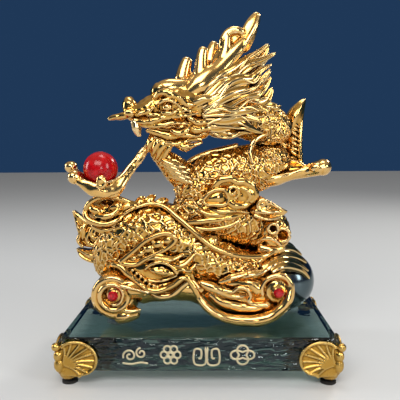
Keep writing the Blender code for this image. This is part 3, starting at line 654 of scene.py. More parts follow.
def ornamentStrokes(kind):
    # four plain ornaments: cloud scroll, blossom, fret and knot, each about 14 mm wide
    strokes = []
    if kind == "cloud":
        strokes.append(coiled(-2.6, 0, -0.6, 0.6, 3.4, 1.4, 60))
        strokes.append(coiled(3.2, 0, 0.8, 0.6, 2.8, -1.3, 200))
        strokes.append([(-6.5, 0, -4.2), (-2, 0, -4.8), (3, 0, -4.0), (6.8, 0, -4.6)])
    if kind == "blossom":
        for petal in range(6):
            a = petal * math.pi / 3
            middle = Vector((math.cos(a), 0, math.sin(a))) * 3.3
            strokes.append(coiled(middle.x, 0, middle.z, 1.7, 1.7, 1.0, 0))
        strokes.append(coiled(0, 0, 0, 1.1, 1.1, 1.0, 0))
    if kind == "fret":
        for side in (-1, 1):
            strokes.append([(side * x, 0, z) for x, z in ((0.6, 4.5), (0.6, -4.5), (6, -4.5), (6, 2.5),
                                                          (2.8, 2.5), (2.8, -1.6), (4.2, -1.6))])
    if kind == "knot":
        for turn in (0, 1):
            points = []
            for step in range(29):
                a = step / 28 * 2 * math.pi
                r = 3.2 + 1.7 * math.cos(2 * a + turn * math.pi)
                points.append((r * math.cos(a) * 1.2, 0, r * math.sin(a)))
            strokes.append(points)
    return strokes


def makeOrnaments(look):
    front = glassLow.y / mm - look["lift"]
    middle = ((glassLow.z + glassHigh.z) / 2 - glassTop) / mm
    for index, kind in enumerate(("cloud", "blossom", "fret", "knot")):
        place = (index - 1.5) * look["pitch"] + look["shift"]
        shapes = []
        for stroke in ornamentStrokes(kind):
            points = [(x * look["size"] + place, front, z * look["size"] + middle) for x, y, z in stroke]
            shapes.append(strand(points, look["line"], look["line"], 0.3, 8, len(points) * 4))
        finishPiece("engraved_" + kind, together(*shapes), inlayGold)


makeOrnaments(ornament)


# corner feet: a ribbed shell on each face, a rolled hook above and a ball below
# sizes in mm
footLook = {"shell": 19.5, "ribs": 9, "rib": 0.55, "rim": 1.0, "ball": 6.2, "overhang": 1.2, "voxel": 0.4}


def shellFan(look):
    # in its own plane: x runs away from the corner, z up from the foot's sole, front at y = 0
    hub = Vector((4.5, 0, 11.0))
    steps = 12
    outline = []
    for step in range(steps + 1):
        t = step / steps
        a = math.radians(100 - 150 * t)
        r = look["shell"] * (0.62 + 0.38 * math.sin(math.pi * min(t * 1.1, 1)) ** 0.8)
        outline.append((hub.x + r * math.cos(a), hub.z + r * math.sin(a) * 0.82))
    rim = [(x, -0.5, z) for x, z in outline]
    shapes = [slab(outline + [(2.5, 4.0), (0.5, 9.0)], -0.3, 2.6, 0.8),
              strand(rim, look["rim"], look["rim"] * 0.8, 0.9, 10, 48)]
    for rib in range(look["ribs"]):
        index = (rib + 0.5) / look["ribs"] * steps
        low = int(index)
        following = min(low + 1, steps)
        x = outline[low][0] + (outline[following][0] - outline[low][0]) * (index - low)
        z = outline[low][1] + (outline[following][1] - outline[low][1]) * (index - low)
        bend = ((hub.x + x) / 2 + 0.4, -0.6, (hub.z + z) / 2 + 0.9)
        shapes.append(strand([(hub.x - 1, -0.4, hub.z), bend, (x, -0.4, z)], look["rib"], look["rib"], 1.0,
                             8, 16))
    return shapes


def makeFeet(look):
    sole = lowNode["corner_foot_front_left"].z
    corner = Vector((glassLow.x - look["overhang"] * mm, glassLow.y - look["overhang"] * mm, 0))
    tool = bmesh.new()
    for mesh in shellFan(look):
        tool.from_mesh(mesh)
    # the sweeps stand on the glass top, so the fan comes down to the sole first
    bmesh.ops.translate(tool, vec=(0, 0, sole - glassTop), verts=tool.verts)
    second = bmesh.ops.duplicate(tool, geom=tool.verts[:] + tool.edges[:] + tool.faces[:])
    turned = [part for part in second["geom"] if isinstance(part, bmesh.types.BMVert)]
    swap = Matrix(((0, 1, 0), (1, 0, 0), (0, 0, 1)))
    bmesh.ops.transform(tool, matrix=swap, verts=turned)
    post = [  # distance from the corner both ways, height, radius, half height
        (-0.2, 21.5, 2.6, 2.6),                 # rolled hook
        (0.6, 16.0, 2.6, 3.4),                  # shoulder
        (1.0, 10.5, 3.0, 4.5),                  # waist
        (3.0, 8.2, 3.6, 3.0),                   # ankle
        (5.4, 4.0, look["ball"] * 0.86, 4.0),   # ball
    ]
    for out, z, radius, tall in post:
        tool.from_mesh(egg(out, out, z + (sole - glassTop) / mm, radius, radius, tall, 0, 3))
    bmesh.ops.recalc_face_normals(tool, faces=tool.faces)
    foot = fused([meshOf(tool)], look["voxel"], 1)
    for name, sx, sy in (("front_left", 1, 1), ("front_right", -1, 1), ("rear_left", 1, -1),
                         ("rear_right", -1, -1)):
        copy = bmesh.new()
        copy.from_mesh(foot)
        bmesh.ops.translate(copy, vec=corner, verts=copy.verts)
        bmesh.ops.scale(copy, vec=(sx, sy, 1), verts=copy.verts)
        bmesh.ops.recalc_face_normals(copy, faces=copy.faces)
        finishPiece("shell_foot_" + name, meshOf(copy), footGold, ["corner_foot_" + name])


makeFeet(footLook)
print("stage: plinth made")


# bead and stones
def makeBead(look):
    # a ball turned about its bore, which is rounded at both ends
    low, high = lowNode["pearl_bead"], highNode["pearl_bead"]
    centre = (low + high) / 2
    radius = (high.x - low.x) / 2
    bore = (highNode["pearl_pin"].x - lowNode["pearl_pin"].x) / 2 + look["boreGap"] * mm
    tool = bmesh.new()
    profile = []
    for step in range(look["steps"] + 1):
        a = math.pi / 2 - math.pi * step / look["steps"]
        r = math.cos(a) * radius
        profile.append(tool.verts.new((max(r, bore + look["boreEdge"] * mm), 0, math.sin(a) * radius)))
    profile.append(tool.verts.new((bore, 0, -radius + look["boreRound"] * mm)))
    top = tool.verts.new((bore, 0, radius - look["boreRound"] * mm))
    ring = profile + [top, profile[0]]
    edges = [tool.edges.new((a, b)) for a, b in zip(ring, ring[1:])]
    bmesh.ops.spin(tool, geom=profile + [top] + edges, cent=(0, 0, 0), axis=(0, 0, 1), angle=2 * math.pi,
                   steps=look["around"], use_merge=True)
    bmesh.ops.remove_doubles(tool, verts=tool.verts, dist=seamGap)
    bmesh.ops.recalc_face_normals(tool, faces=tool.faces)
    bmesh.ops.translate(tool, vec=centre, verts=tool.verts)
    finishPiece("cherry_bead", meshOf(tool), beadRed, ["pearl_bead"], "pearl")


def makeStones(look):
    # a faceted crown in front of a pointed back
    for side in ("left", "right"):
        low, high = lowNode["gem_" + side], highNode["gem_" + side]
        centre = (low + high) / 2
        r = (high.x - low.x) / 2
        halves = []
        for wide, narrow, depth, setBack in ((0.98, look["table"], look["crown"], 0.05),
                                             (look["point"], 0.98, look["pavilion"], 0.56)):
            tool = bmesh.new()
            bmesh.ops.create_cone(tool, cap_ends=True, segments=look["facets"], radius1=r * wide,
                                  radius2=r * narrow, depth=r * depth)
            bmesh.ops.rotate(tool, matrix=Matrix.Rotation(math.radians(90), 3, "X"), verts=tool.verts)
            bmesh.ops.translate(tool, vec=(centre.x, low.y + r * setBack, centre.z), verts=tool.verts)
            halves.append(meshOf(tool))
        piece = finishPiece("rhinestone_" + side, together(*halves), stoneRed, ["gem_" + side], "stand")
        piece.data.shade_flat()


makeBead(beadLook)
makeStones(stoneLook)
print("stage: bead and stones made")


# scaled body
scaleLook = {"length": 6.6, "width": 4.8, "lip": 1.35, "around": 220, "along": 230,
             "backward": ("chest_coil",)}
bodyCoils = {
    "neck": [(14, -5, 127, 11), (30, -2, 126, 12.5), (44, 4, 121, 13.5), (51, 8, 110, 14)],
    "chest_coil": [(51, 8, 110, 14), (43, 6, 98, 14.5), (28, 1, 93, 16), (12, -4, 91, 15.5),
                   (0, -8, 82, 15), (-4, -9, 70, 13)],
    "middle_coil": [(-16, -8, 70, 11), (-6, -9, 70, 13.5), (8, -8, 68, 16.5), (27, -3, 63, 17.5),
                    (43, 2, 55, 15), (51, 9, 44, 11)],
    "rear_coil": [(46, 14, 50, 10), (34, 22, 40, 12), (12, 25, 34, 13), (-14, 24, 32, 12.5),
                  (-36, 18, 30, 11), (-52, 8, 30, 9)],
    "lower_coil": [(-56, -3, 24, 9), (-54, -6, 42, 13.5), (-41, -9, 55, 16.5), (-22, -11, 57, 17),
                   (-3, -12, 46, 16), (16, -12, 35, 14), (36, -9, 31, 12), (50, -2, 31, 9)],
}


def makeCoils(look):
    for node, stations in bodyCoils.items():
        relief = scalesOver(look["length"], look["width"], look["lip"], node in look["backward"])
        mesh = sweep(stations, look["around"], look["along"], 1.0, relief, blunt=True)
        finishPiece("scaled_" + node, mesh, gold, [node])


makeCoils(scaleLook)


def makeChestRim():
    rim = [(-9, -11, 97, 1.2), (-3, -10, 101, 1.7), (6, -8, 104.5, 1.9), (16, -7, 107, 1.9),
           (25, -6, 109.5, 1.5)]
    crescent = [(33, -13.5, 98, 1.0), (31.5, -13, 105, 1.5), (34, -12, 111.5, 1.6), (39, -9.5, 115, 1.4),
                (46, -6, 116.5, 0.9)]
    shapes = [sweep(rim, 16, 70, 0.8, blunt=True), sweep(crescent, 16, 60, 0.8, blunt=True)]
    finishPiece("chest_rim", together(*shapes), gold)


makeChestRim()
print("stage: body made")


# head
# sizes in mm
headLook = {"voxel": 0.42, "unevenEvery": 3.2, "uneven": 0.45, "fangs": {"left": -26.5, "right": -18.5}}
skull = [(-44, -22, 127.5, 2.4), (-41, -22, 128.5, 4), (-34, -21, 129, 6.0), (-24, -19, 132, 9),
         (-12, -15, 134, 12.5), (2, -10, 133, 14), (14, -6, 130, 11.5)]
jaw = [(-29, -19, 117, 3.2), (-17, -16, 114.5, 5), (-5, -12, 117, 6), (7, -8, 120, 5)]
headStrands = [    # points, width
    ([(-25.5, -25, 135.5), (-22.5, -28, 138.8), (-17.5, -30.5, 139.2), (-11.5, -30, 136.8),
      (-6.5, -27.5, 133.4), (-1, -25, 132.5)], 2.6),
    ([(-22.8, -28, 130.5), (-21.6, -31, 133.8), (-17.5, -32.2, 135.2), (-12.8, -31.5, 134),
      (-9.5, -29, 131.2), (-5, -27, 130)], 1.25),
    ([(-22.5, -28, 129.8), (-19, -30.5, 128.0), (-14.5, -30.5, 128.0), (-10.5, -29, 130), (-3, -27, 129)],
     1.2),
    ([(-22, -24, 135), (-26, -25.5, 133.5), (-31, -26, 130.5), (-36, -25.5, 129.5)], 3.0),
    ([(-25, -27.5, 131.5), (-29.5, -28, 129.0), (-34.5, -28, 127.6)], 1.7),
    ([(-38, -26.5, 124.5), (-32.5, -28, 123.2), (-25, -29, 123.6), (-17, -29.5, 126), (-9, -28, 126.4),
      (1, -25, 128.5)], 1.9),
    ([(-36, -26, 122), (-30, -27.5, 120.8), (-22, -28.3, 120.8), (-13, -27.5, 122.5), (-5, -26, 122),
      (4, -23, 125)], 1.4),
    ([(-30, -27.5, 126.8), (-24, -28.8, 127), (-17.5, -29.6, 125.3), (-10, -28.8, 128.4), (-3, -26, 131.2)],
     1.4),
    ([(-30.5, -26, 118.5), (-23, -26, 116.6), (-16, -26, 114.8), (-9, -24.5, 116), (-2, -22, 115),
      (7, -18, 118)], 2.2),
    ([(-26, -24, 114.6), (-19, -23, 111.6), (-12, -22.5, 110.6), (-5, -21, 112.6), (3, -18, 113)], 1.9),
    ([(-16, -27, 118.8), (-12, -28.5, 116.5), (-7, -28, 117.5), (-4, -26.5, 121)], 2.0),
    ([(-14, -21, 112), (-9, -22.5, 108.8), (-3, -22, 109.4), (3, -19, 111.5)], 1.8),
    ([(-8, -25, 121), (-1, -24.5, 118.5), (7, -22, 119.5), (15, -17, 118)], 2.4),
    ([(-6, -26, 126), (0, -26, 122.6), (8, -23.5, 123), (15, -19, 121)], 2.0),
]


def makeHead(look):
    shapes = [
        sweep(skull, 40, 60, 1.0, blunt=True),
        sweep(jaw, 30, 40, 1.0, blunt=True),
        egg(-22, -20, 141, 6, 6.5, 5.5),
        egg(-40.0, -21, 132.4, 4.6, 5.0, 6.2, -14),
        egg(-37.5, -21, 129.0, 5.4, 6.4, 4.4),
        egg(-39.5, -26.5, 128.5, 3.2, 2.2, 2.6),
        egg(-13, -17, 120.5, 17, 6.5, 4.4),
    ]
    for points, width in headStrands:
        shapes.append(lock(points, width, 0.8, 0, 0.35, 12, 30))
    shapes.append(lock([(-39, -25.5, 127.5), (-44, -25, 126.8), (-49, -24.3, 126), (-53, -23.5, 125)], 2.2,
                       0.9, 0, 0.35, 12, 24, 1.0))
    skin = wobble(fused(shapes, look["voxel"], 2), look["unevenEvery"], look["uneven"])
    finishPiece("dragon_head", skin, gold, ["head", "lower_jaw", "nose_horn"])
    eye = [egg(-17.2, -29.6, 131.2, 2.9, 2.3, 2.5, -12), ringOf(-17.4, -31.4, 131.0, 1.1, 0.35, 0.8)]
    finishPiece("dragon_eye", fused(eye, 0.25, 1), smoothGold)
    for side, y in look["fangs"].items():
        fang = lock([(-37, y, 124), (-36.2, y, 120.5), (-35.6, y, 117.5), (-34.6, y, 114.6)], 2.4, 0.8, 0,
                    0.12, 12, 20, 1.0)
        finishPiece("tusk_" + side, fang, smoothGold, ["fang_" + side])


makeHead(headLook)
print("stage: head made")


# antlers
antlerLook = {"voxel": 0.5}
antlerParts = {
    "antler_left": [
        ([(-26, -19, 138, 3), (-23, -20, 141.5, 4.4), (-18, -19.5, 143, 5.6), (-11, -18, 143.4, 5.6),
          (-4, -15, 144.5, 4.6), (2, -12, 146, 3.5)], 0.9),
        ([(-11, -22.5, 136.5, 1.8), (-5, -22, 140, 3.8), (1, -21, 144.5, 6.0), (6, -19.5, 149, 6.4),
          (12, -18, 153.5, 5.2), (18, -16, 160, 4.6), (24, -14.5, 166.5, 4.2), (30, -12.5, 173, 3.4)], 0.6),
        ([(2, -19, 148, 5.6), (2.2, -18.5, 154.5, 4.2), (2.6, -17.5, 161, 3.6), (4.0, -16.5, 167.6, 2.8)],
         0.75),
        ([(15, -16, 158, 4.4), (16.8, -15.5, 164.5, 3.4), (17.4, -15, 170, 2.7), (17.8, -14.5, 175, 2.0)],
         0.7),
        ([(10, -12, 152, 6), (16, -11, 161, 6.4), (20, -10.5, 168.5, 6.2), (23.5, -10.5, 172.5, 5.4),
          (27, -11, 174.5, 4.0)], 0.6),
        ([(14.4, -14, 166, 1.8), (15.4, -13.8, 172, 2.4), (19, -13.5, 176.4, 2.6), (24, -13.5, 177.4, 2.4),
          (28, -13, 175.4, 1.8)], 0.9),
        ([(25, -12, 165, 4.4), (29, -11.5, 173, 5.0), (32.4, -11, 180.5, 4.4), (35, -10.2, 185.6, 3.2),
          (36.6, -10, 188.6, 1.5)], 0.5),
        ([(26.6, -15.5, 166, 1.0), (31.0, -14.5, 173, 1.5), (34.8, -13.4, 180, 1.5),
          (37.0, -11.5, 187, 0.8)], 0.9),
    ],
    "antler_right": [
        ([(-16, -6, 142, 4), (-10, -3, 145.5, 5.2), (-2, 0, 150, 5.2), (8, 1, 156, 5.0), (17, 2, 166, 4.4),
          (23, 3, 175, 3.2), (28, 3, 182.6, 1.1)], 0.7),
        ([(-10.5, -2, 147, 5.2), (-9.4, -1.5, 153, 4.6), (-8.0, -0.5, 158.5, 4.0), (-6.2, 0, 164.4, 3.0)],
         0.8),
        ([(7, 1, 158, 5.4), (8.6, 2, 167, 4.2), (10.6, 3, 174.5, 2.4)], 0.8),
    ],
}


def makeAntlers(look):
    for node, parts in antlerParts.items():
        shapes = [sweep(stations, 28, 60, deep, blunt=True) for stations, deep in parts]
        finishPiece("polished_" + node, fused(shapes, look["voxel"], 4), smoothGold, [node])


makeAntlers(antlerLook)
print("stage: antlers made")


# mane, beard and flames
maneLocks = {
    "mane_left": [
        ([(0, -20, 135), (5.5, -21, 141), (12.5, -19, 148.5), (20, -16, 154), (28, -13, 160.5),
          (36, -11, 164.5), (43, -9, 170)], 3.8),
        ([(1, -22, 133), (8, -22, 138.5), (15, -20, 145.5), (23, -16.5, 151.5), (31, -13, 156.5),
          (39, -11.5, 160), (47.5, -10, 165)], 4.0),
        ([(2, -23, 131), (9, -23, 135.5), (16, -21, 142.5), (24, -18, 147), (32, -15, 149), (37, -13, 154),
          (45, -11, 158)], 3.8),
        ([(3, -23.5, 129.5), (10, -23.5, 133), (18, -21, 139), (26, -18, 143), (33, -15.5, 144),
          (38.5, -14, 147.5), (44, -12, 155)], 3.6),
        ([(3, -24, 127), (12, -24, 131), (20, -22, 132), (28, -19, 135), (36, -17, 139), (40, -15, 146)],
         3.0),
        ([(2.5, -24.5, 126), (11.5, -24, 129.5), (19.5, -22, 128), (28, -19, 131), (35.5, -16, 132),
          (43, -13, 129)], 3.0),
        ([(4, -24, 124), (14, -22.5, 124.5), (23.5, -20, 126.5), (30.5, -17, 125), (39, -14, 123)], 3.2),
        ([(4, -22, 121), (13, -21, 120), (22, -19, 122), (31, -15, 120), (40, -11, 117)], 3.4),
        ([(8, -20, 117.5), (16, -18, 116.5), (24, -15, 118), (32, -12, 116)], 3.0),
    ],
    "mane_crest": [
        ([(8, -14, 143), (18, -12, 151), (27, -9, 157), (35, -6, 161.5), (44, -4, 167)], 4.6),
        ([(12, -12, 140), (24, -9, 147), (33, -7, 154), (39, -6, 162), (43.5, -5, 170.5)], 4.4),
        ([(16, -10, 136), (28, -8, 140), (38, -7, 143), (45, -6, 151)], 4.0),
        ([(20, -8, 133), (32, -7, 136), (42, -6, 138), (46, -5, 144)], 4.2),
        ([(24, -6, 130), (36, -6, 131), (46, -5, 131), (51, -4, 134)], 4.0),
    ],
    "mane_right": [
        ([(2, 3, 140), (14, 5, 147), (26, 6, 152), (36, 6, 158), (44, 6, 163)], 4.0),
        ([(4, 4, 135), (17, 7, 140), (30, 8, 144), (40, 8, 150), (46, 7, 156)], 4.2),
        ([(5, 5, 130), (18, 8, 133), (31, 9, 136), (42, 9, 140), (47, 7, 146)], 4.2),
        ([(4, 4, 125), (16, 8, 126), (28, 10, 128), (40, 10, 130), (48, 8, 134)], 4.2),
        ([(6, 3, 119), (16, 7, 119), (27, 9, 121), (38, 9, 121)], 3.8),
    ],
}


maneLook = {"deep": 0.7, "grooves": 3, "wave": 1.3, "waveSpread": 0.5, "wisp": 0.36,
            "ears": {"ear_left": -25, "ear_right": 2}}


def makeMane(look):
    # a thin wisp runs in front of each lock and crosses it
    for node, locks in maneLocks.items():
        shapes = []
        for index, (points, width) in enumerate(locks):
            wave = look["wave"] + look["waveSpread"] * math.sin(index * 5.1)
            shapes.append(lock(points, width, look["deep"], look["grooves"], 0.1, 26, 50, wave=wave,
                               phase=index * 2.4))
            wisp = [(x + 1.2, y - width * 0.52, z - 0.8 + 2.6 * math.sin(x * 0.23 + index * 1.7))
                    for x, y, z in points[:-1]]
            shapes.append(lock(wisp, width * look["wisp"], 0.8, 0, 0.12, 12, 40, wave=0.9, phase=index * 1.3))
        finishPiece("flowing_" + node, together(*shapes), gold, [node])
    for node, y in look["ears"].items():
        tilt = -1 if y < 0 else 1
        leaf = lock([(-7, y + 2, 131.5), (-1, y - tilt * 0.5, 134.5), (5, y - 0.5, 136.5),
                     (11, y + 1, 135.5)], 2.8, 0.6, 2, 0.12, 20, 30, 0.3)
        finishPiece("leaf_" + node, leaf, gold, [node])


# each flute's width and extra length
beardLook = {"flutes": ((1.7, 0), (2.8, 1.4), (1.5, -0.8), (2.6, 0.9), (1.8, 2.0), (3.0, 0.3), (1.6, 1.6),
                        (2.4, 0.8)), "voxel": 0.32}


def makeBeard(look):
    shapes = []
    for index, (width, stretch) in enumerate(look["flutes"]):
        t = index / (len(look["flutes"]) - 1)
        bow = math.sin(t * math.pi)
        top = (-26.4 + 12.4 * t, -18 - 1.2 * bow, 118.6 - 2.4 * t)
        middle = (-29.0 + 11.8 * t, -20.6 - 1.4 * bow - 0.2 * width, 112.4 - 4.0 * t + 0.2 * stretch)
        foot = (-31.6 + 9.4 * t - 0.3 * stretch, -19.5 - 1.2 * bow,
                107.2 - 7.6 * t - 0.8 * bow - 0.6 * stretch)
        shapes.append(lock([top, middle, foot], width, 0.9, 1, 0.2, 18, 40, 0.4, 0.55, wave=0.5,
                           phase=index * 1.7))
    shapes.append(slab([(-25, 119), (-10, 118), (-15, 109), (-20, 102), (-24, 104), (-28, 110)], -19.2,
                       -17.5, 0.8))
    finishPiece("fluted_beard", fused(shapes, look["voxel"], 0), gold, ["beard"])
    tuft = [lock([(-16 + k, -17.5, 112.5 - k * 0.3), (-11 + k, -18.5, 109 - k * 0.6), (-5 + k, -18, 109.5)],
                 1.6, 0.8, 2) for k in (0, 1.5, 3)]
    finishPiece("chin_lock", together(*tuft), gold, ["chin_tuft"])


makeMane(maneLook)
makeBeard(beardLook)
print("stage: mane and beard made")


# the scoop under the bead
# sizes in mm
scoopLook = {"voxel": 0.45, "wall": 1.7, "dish": 0.42, "rimWidth": 0.9, "unevenEvery": 5, "uneven": 0.5}
scoopPath = [(-27.5, -18, 112), (-33, -18.5, 106), (-39, -19.5, 98), (-44.5, -21, 90.5), (-50, -22.5, 86.5),
             (-57.8, -24, 84.6), (-65.5, -24, 86), (-71, -24, 90.5), (-74.5, -24, 95)]


def makeScoop(look):
    # a trough: a closed strip whose section is a shallow U, wide at the cup and narrow at the stem
    count = 64
    widths = (5.5, 6, 7, 9.5, 12.5, 15, 14, 11, 7)
    path = reach([(*point, width) for point, width in zip(scoopPath, widths)], count + 1)
    ahead = np.gradient(path[:, :3], axis=0)
    ahead /= np.linalg.norm(ahead, axis=1)[:, None]
    tool = bmesh.new()
    bmesh.ops.create_grid(tool, x_segments=count, y_segments=24, size=0.5)
    mesh = meshOf(tool)
    grid = pointsOf(mesh)
    ring = np.rint((grid[:, 0] + 0.5) * count).astype(int)
    across = grid[:, 1] * 2
    up = np.cross(ahead, (0, 1.0, 0))
    up *= np.where(up[:, 2] < 0, -1, 1)[:, None]
    half = path[ring, 3] / 2
    lift = half * look["dish"] * across ** 2
    lip = np.where(np.abs(across) > 0.85, 0.5 * (np.abs(across) - 0.85) / 0.15, 0)    # a raised edge, 0.5 mm
    points = path[ring, :3] + up[ring] * (lift + lip)[:, None]
    points[:, 1] += across * half
    points[:, 2] += glassTop / mm
    movePoints(mesh, points * mm)
    holder = bpy.data.objects.new("holder", mesh)
    wall = holder.modifiers.new("wall", "SOLIDIFY")
    wall.thickness = look["wall"] * mm
    wall.offset = 0
    shell = evaluated(holder)
    rims = []
    for side in (-1, 1):
        edge = [(x, y + side * w / 2, z + w * 0.21) for x, y, z, w in path[::6]]
        rims.append(strand(edge, look["rimWidth"], look["rimWidth"], 1.0, 10, 60))
    bowl = [(-72.5, -29.5, 91.6, 1.4), (-68.3, -31.4, 88.6, 2.6), (-64, -32.0, 86.0, 3.6),
            (-59.5, -32.2, 84.0, 4.2), (-53.5, -31.4, 82.9, 3.5), (-47.8, -28.6, 85, 3.3),
            (-43.6, -25.4, 90.2, 2.9), (-39.4, -23.4, 95.8, 2.5), (-35, -21.6, 101.2, 2.1),
            (-31.4, -20.2, 106.2, 1.8), (-28.6, -19.2, 111, 1.5)]
    rims.append(sweep(bowl, 30, 120, 0.42, blunt=True))    # the smooth front of the bowl and stem
    thick = (1.3, 1.6, 1.9, 2.2, 2.4, 2.6, 2.4, 1.8)
    spine = [(x, y, z - 1.2, radius) for (x, y, z), radius in zip(scoopPath, thick)]
    blade = [(-64.5, 84.5), (-61, 79), (-55, 77.5), (-48, 78.5), (-44, 83), (-42, 88), (-52, 85)]
    keel = together(sweep(spine, 24, 60, 2.4, blunt=True), slab(blade, -27, -20, 2.4))
    knobs = [egg(-76, -21.6, 97, 4, 4, 3.8), egg(-72.5, -28.6, 91.4, 4.2, 4, 4.1), egg(-70, -26, 89, 3, 3, 3)]
    skin = wobble(fused([shell, *rims, keel, *knobs], look["voxel"], 2), look["unevenEvery"], look["uneven"])
    finishPiece("ruyi_scoop", skin, smoothGold, ["pearl_scoop", "scoop_keel"])
    low, high = lowNode["scoop_finger"] / mm, highNode["scoop_finger"] / mm
    base = glassTop / mm
    x, y = (low.x + high.x) / 2, low.y
    finger = [ringOf(x, y + 1.6, (low.z + high.z) / 2 - base + 0.6, 2.6, 1.5, 0.9, 200, 1.1, 1.2),
              egg(x, y + 1.8, high.z - base - 3.0, 2.8, 1.8, 2.8)]
    finishPiece("curled_finger", fused(finger, 0.3, 2), smoothGold, ["scoop_finger"])


makeScoop(scoopLook)
print("stage: scoop made")


# legs, claws, fins and clouds
limbLook = {"scales": (5.0, 4.6, 0.9), "voxel": 0.42, "finMiddle": 12.5}    # scales: length, width, lip; mm


def makeLimbs(look):
    leg = [sweep([(-4, -10, 86, 9), (-12, -12, 93, 8.5), (-19, -15, 100, 6.5), (-27, -18, 107, 3.6)], 60,
                 70, 0.9, scalesOver(*look["scales"], False), blunt=True)]
    for k in range(4):
        leg.append(lock([(-22 + k * 2.4, -21, 101 - k * 3), (-14 + k * 2.4, -22.5, 97.5 - k * 3),
                         (-6 + k * 2, -20, 96 - k * 3.6)], 2.0, 0.6, 2, 0.15, 16, 26))
    finishPiece("foreleg_raised", together(*leg), gold, ["foreleg_left"])
    reachOut = [(36, 1, 84, 5), (41, 0.5, 85.7, 4.2), (49, 0, 87.4, 3.9), (55, 0, 89.0, 3.5),
                (63, -0.5, 91.2, 3.4), (70, -1, 93.2, 4.0), (75, -1.5, 94.8, 4.7), (78.6, -1.8, 95.6, 4.6)]
    arm = [sweep(reachOut, 40, 70, 1.7), egg(78.2, -2.5, 95.4, 5.4, 7.2, 5.2, 20),
           egg(73, -7, 95.4, 4.6, 2.6, 2.8, -20),
           sweep([(38, -5, 86.4, 2.4), (48, -5.4, 88.8, 2.0), (58, -5, 91, 1.7), (66, -5.4, 93.6, 1.9),
                  (72, -6, 95.6, 2.2)], 20, 50, 0.8)]
    finishPiece("foreleg_reaching", wobble(fused(arm, 0.45, 3), 8, 0.6), smoothGold, ["foreleg_right"])
    fin = [slab([(50, 98), (66, 97), (66, 112), (67.5, 124), (69, 138.5), (63, 131), (58, 123), (52, 113)],
                10.5, 14.5, 1.5)]
    for rise, lean in ((0, 0.2), (3.6, 1.3), (6.4, -0.5), (9.9, 0.8), (12.8, -0.2), (16.4, 1.5), (19.2, 0),
                       (22.6, 1.0)):
        z = 98.3 + rise    # ribs of uneven width, slope and spacing
        fin.append(strand([(57.4 + lean * 0.8, 11.0, z + 3.6 + lean), (61.3, 8.6 - lean * 0.3, z + 2.4),
                           (65.2, 9.8, z + 0.4 - lean * 0.6)], 1.35 + 0.3 * lean, 0.7, 1.0, 10, 20))
    fin.append(strand([(66.4, 10.5, 97), (66, 10.5, 112), (66.6, 10.8, 124), (68.6, 11.5, 138)], 1.8, 1.0,
                      1.0, 12, 50))
    fin.append(strand([(58, 10.5, 98), (58.5, 10, 108), (59, 10, 116), (61, 10.3, 126)], 1.2, 0.8, 1.0, 10,
                      40))
    for x, z, r in ((53.5, 102, 2.6), (54.5, 107.5, 2.8), (54, 113, 2.4)):
        fin.append(ringOf(x, 9.5, z, r, 0.9, 0.9, 30, 1.2, 0.8))
    fin.append(lock([(60, 11, 118), (61.5, 10, 126), (65, 10.5, 133), (69.2, 12, 139.2)], 4.4, 0.8, 2, 0.1,
                    20, 30))
    fin += [mirrored(shape, look["finMiddle"]) for shape in fin[1:]]
    fin.append(leafOf([(46, 100), (56, 101), (64.5, 99.5), (67.4, 97.6), (70, 95.6), (66, 93), (56, 90.6),
                       (44, 87.6), (40, 94)], 4.5, 14, 2.4, -1.0))    # the web between the fin and the leg
    finishPiece("ribbed_fin", fused(fin, look["voxel"], 1), gold, ["fin_right"])
    edge = [(-46.9, 40), (-37.8, 47.6), (-30.9, 53.4), (-22.4, 57.2), (-16.0, 57.2), (-13.4, 54),
            (-16.6, 50.2), (-22.6, 46.6), (-31.1, 42.6), (-38, 39)]
    thigh = [
        leafOf(edge, -29.0, -21, 1.6, -1.6),
        strand([(x, -29.2, z) for x, z in [*edge, edge[0]]], 1.6, 1.6, 0.9, 12, 120),
    ]
    for x, z, r in ((-38.4, 42.6, 1.8), (-34.0, 45.6, 2.4), (-29.0, 48.4, 3.0), (-23.4, 51.4, 3.2),
                    (-17.8, 53.6, 2.8)):
        thigh.append(egg(x, -28.2, z, r * 1.15, r * 0.8, r * 0.85, -30, 3))
    for x, z, r in ((-31.6, 48.8, 1.2), (-26.6, 52.6, 1.3), (-27.0, 47.0, 1.2), (-20.8, 49.6, 1.2)):
        thigh.append(egg(x, -28.8, z, r, r, r, 0, 3))
    finishPiece("thigh_leaf", fused(thigh, 0.38, 1), gold, ["thigh_left"])
    claw = [
        leafOf([(31, 71), (33.8, 75), (37.7, 78.4), (42.6, 75.8), (48, 72.8), (53, 69.6), (48.6, 66.2),
                (42.7, 65.4), (36.8, 66.2), (32.4, 68.2)], -26, -16, 2.8),
        ringOf(38.2, -26.6, 74.2, 2.9, 1.2, 0.9),
        egg(38.2, -26.4, 74.2, 1.7, 1.2, 1.7, 0, 3),
        strand([(33.5, -25.5, 70.6), (40, -27.2, 69.8), (46, -26.6, 70), (53, -23, 69.5)], 1.7, 0.7, 0.9,
               12, 40),
        strand([(40.8, -26.4, 76.2), (45, -26.4, 74), (49.5, -25.5, 71.6), (53.4, -23.2, 69.6)], 1.2, 0.6,
               1.0, 12, 40),
        strand([(33, -25.5, 68), (38.5, -26.6, 66.2), (44, -26.4, 65.8), (50, -25, 67.4)], 1.3, 0.7, 1.0,
               12, 40),
    ]
    finishPiece("hind_claw", fused(claw, 0.4, 2), smoothGold, ["hind_claw_right"])


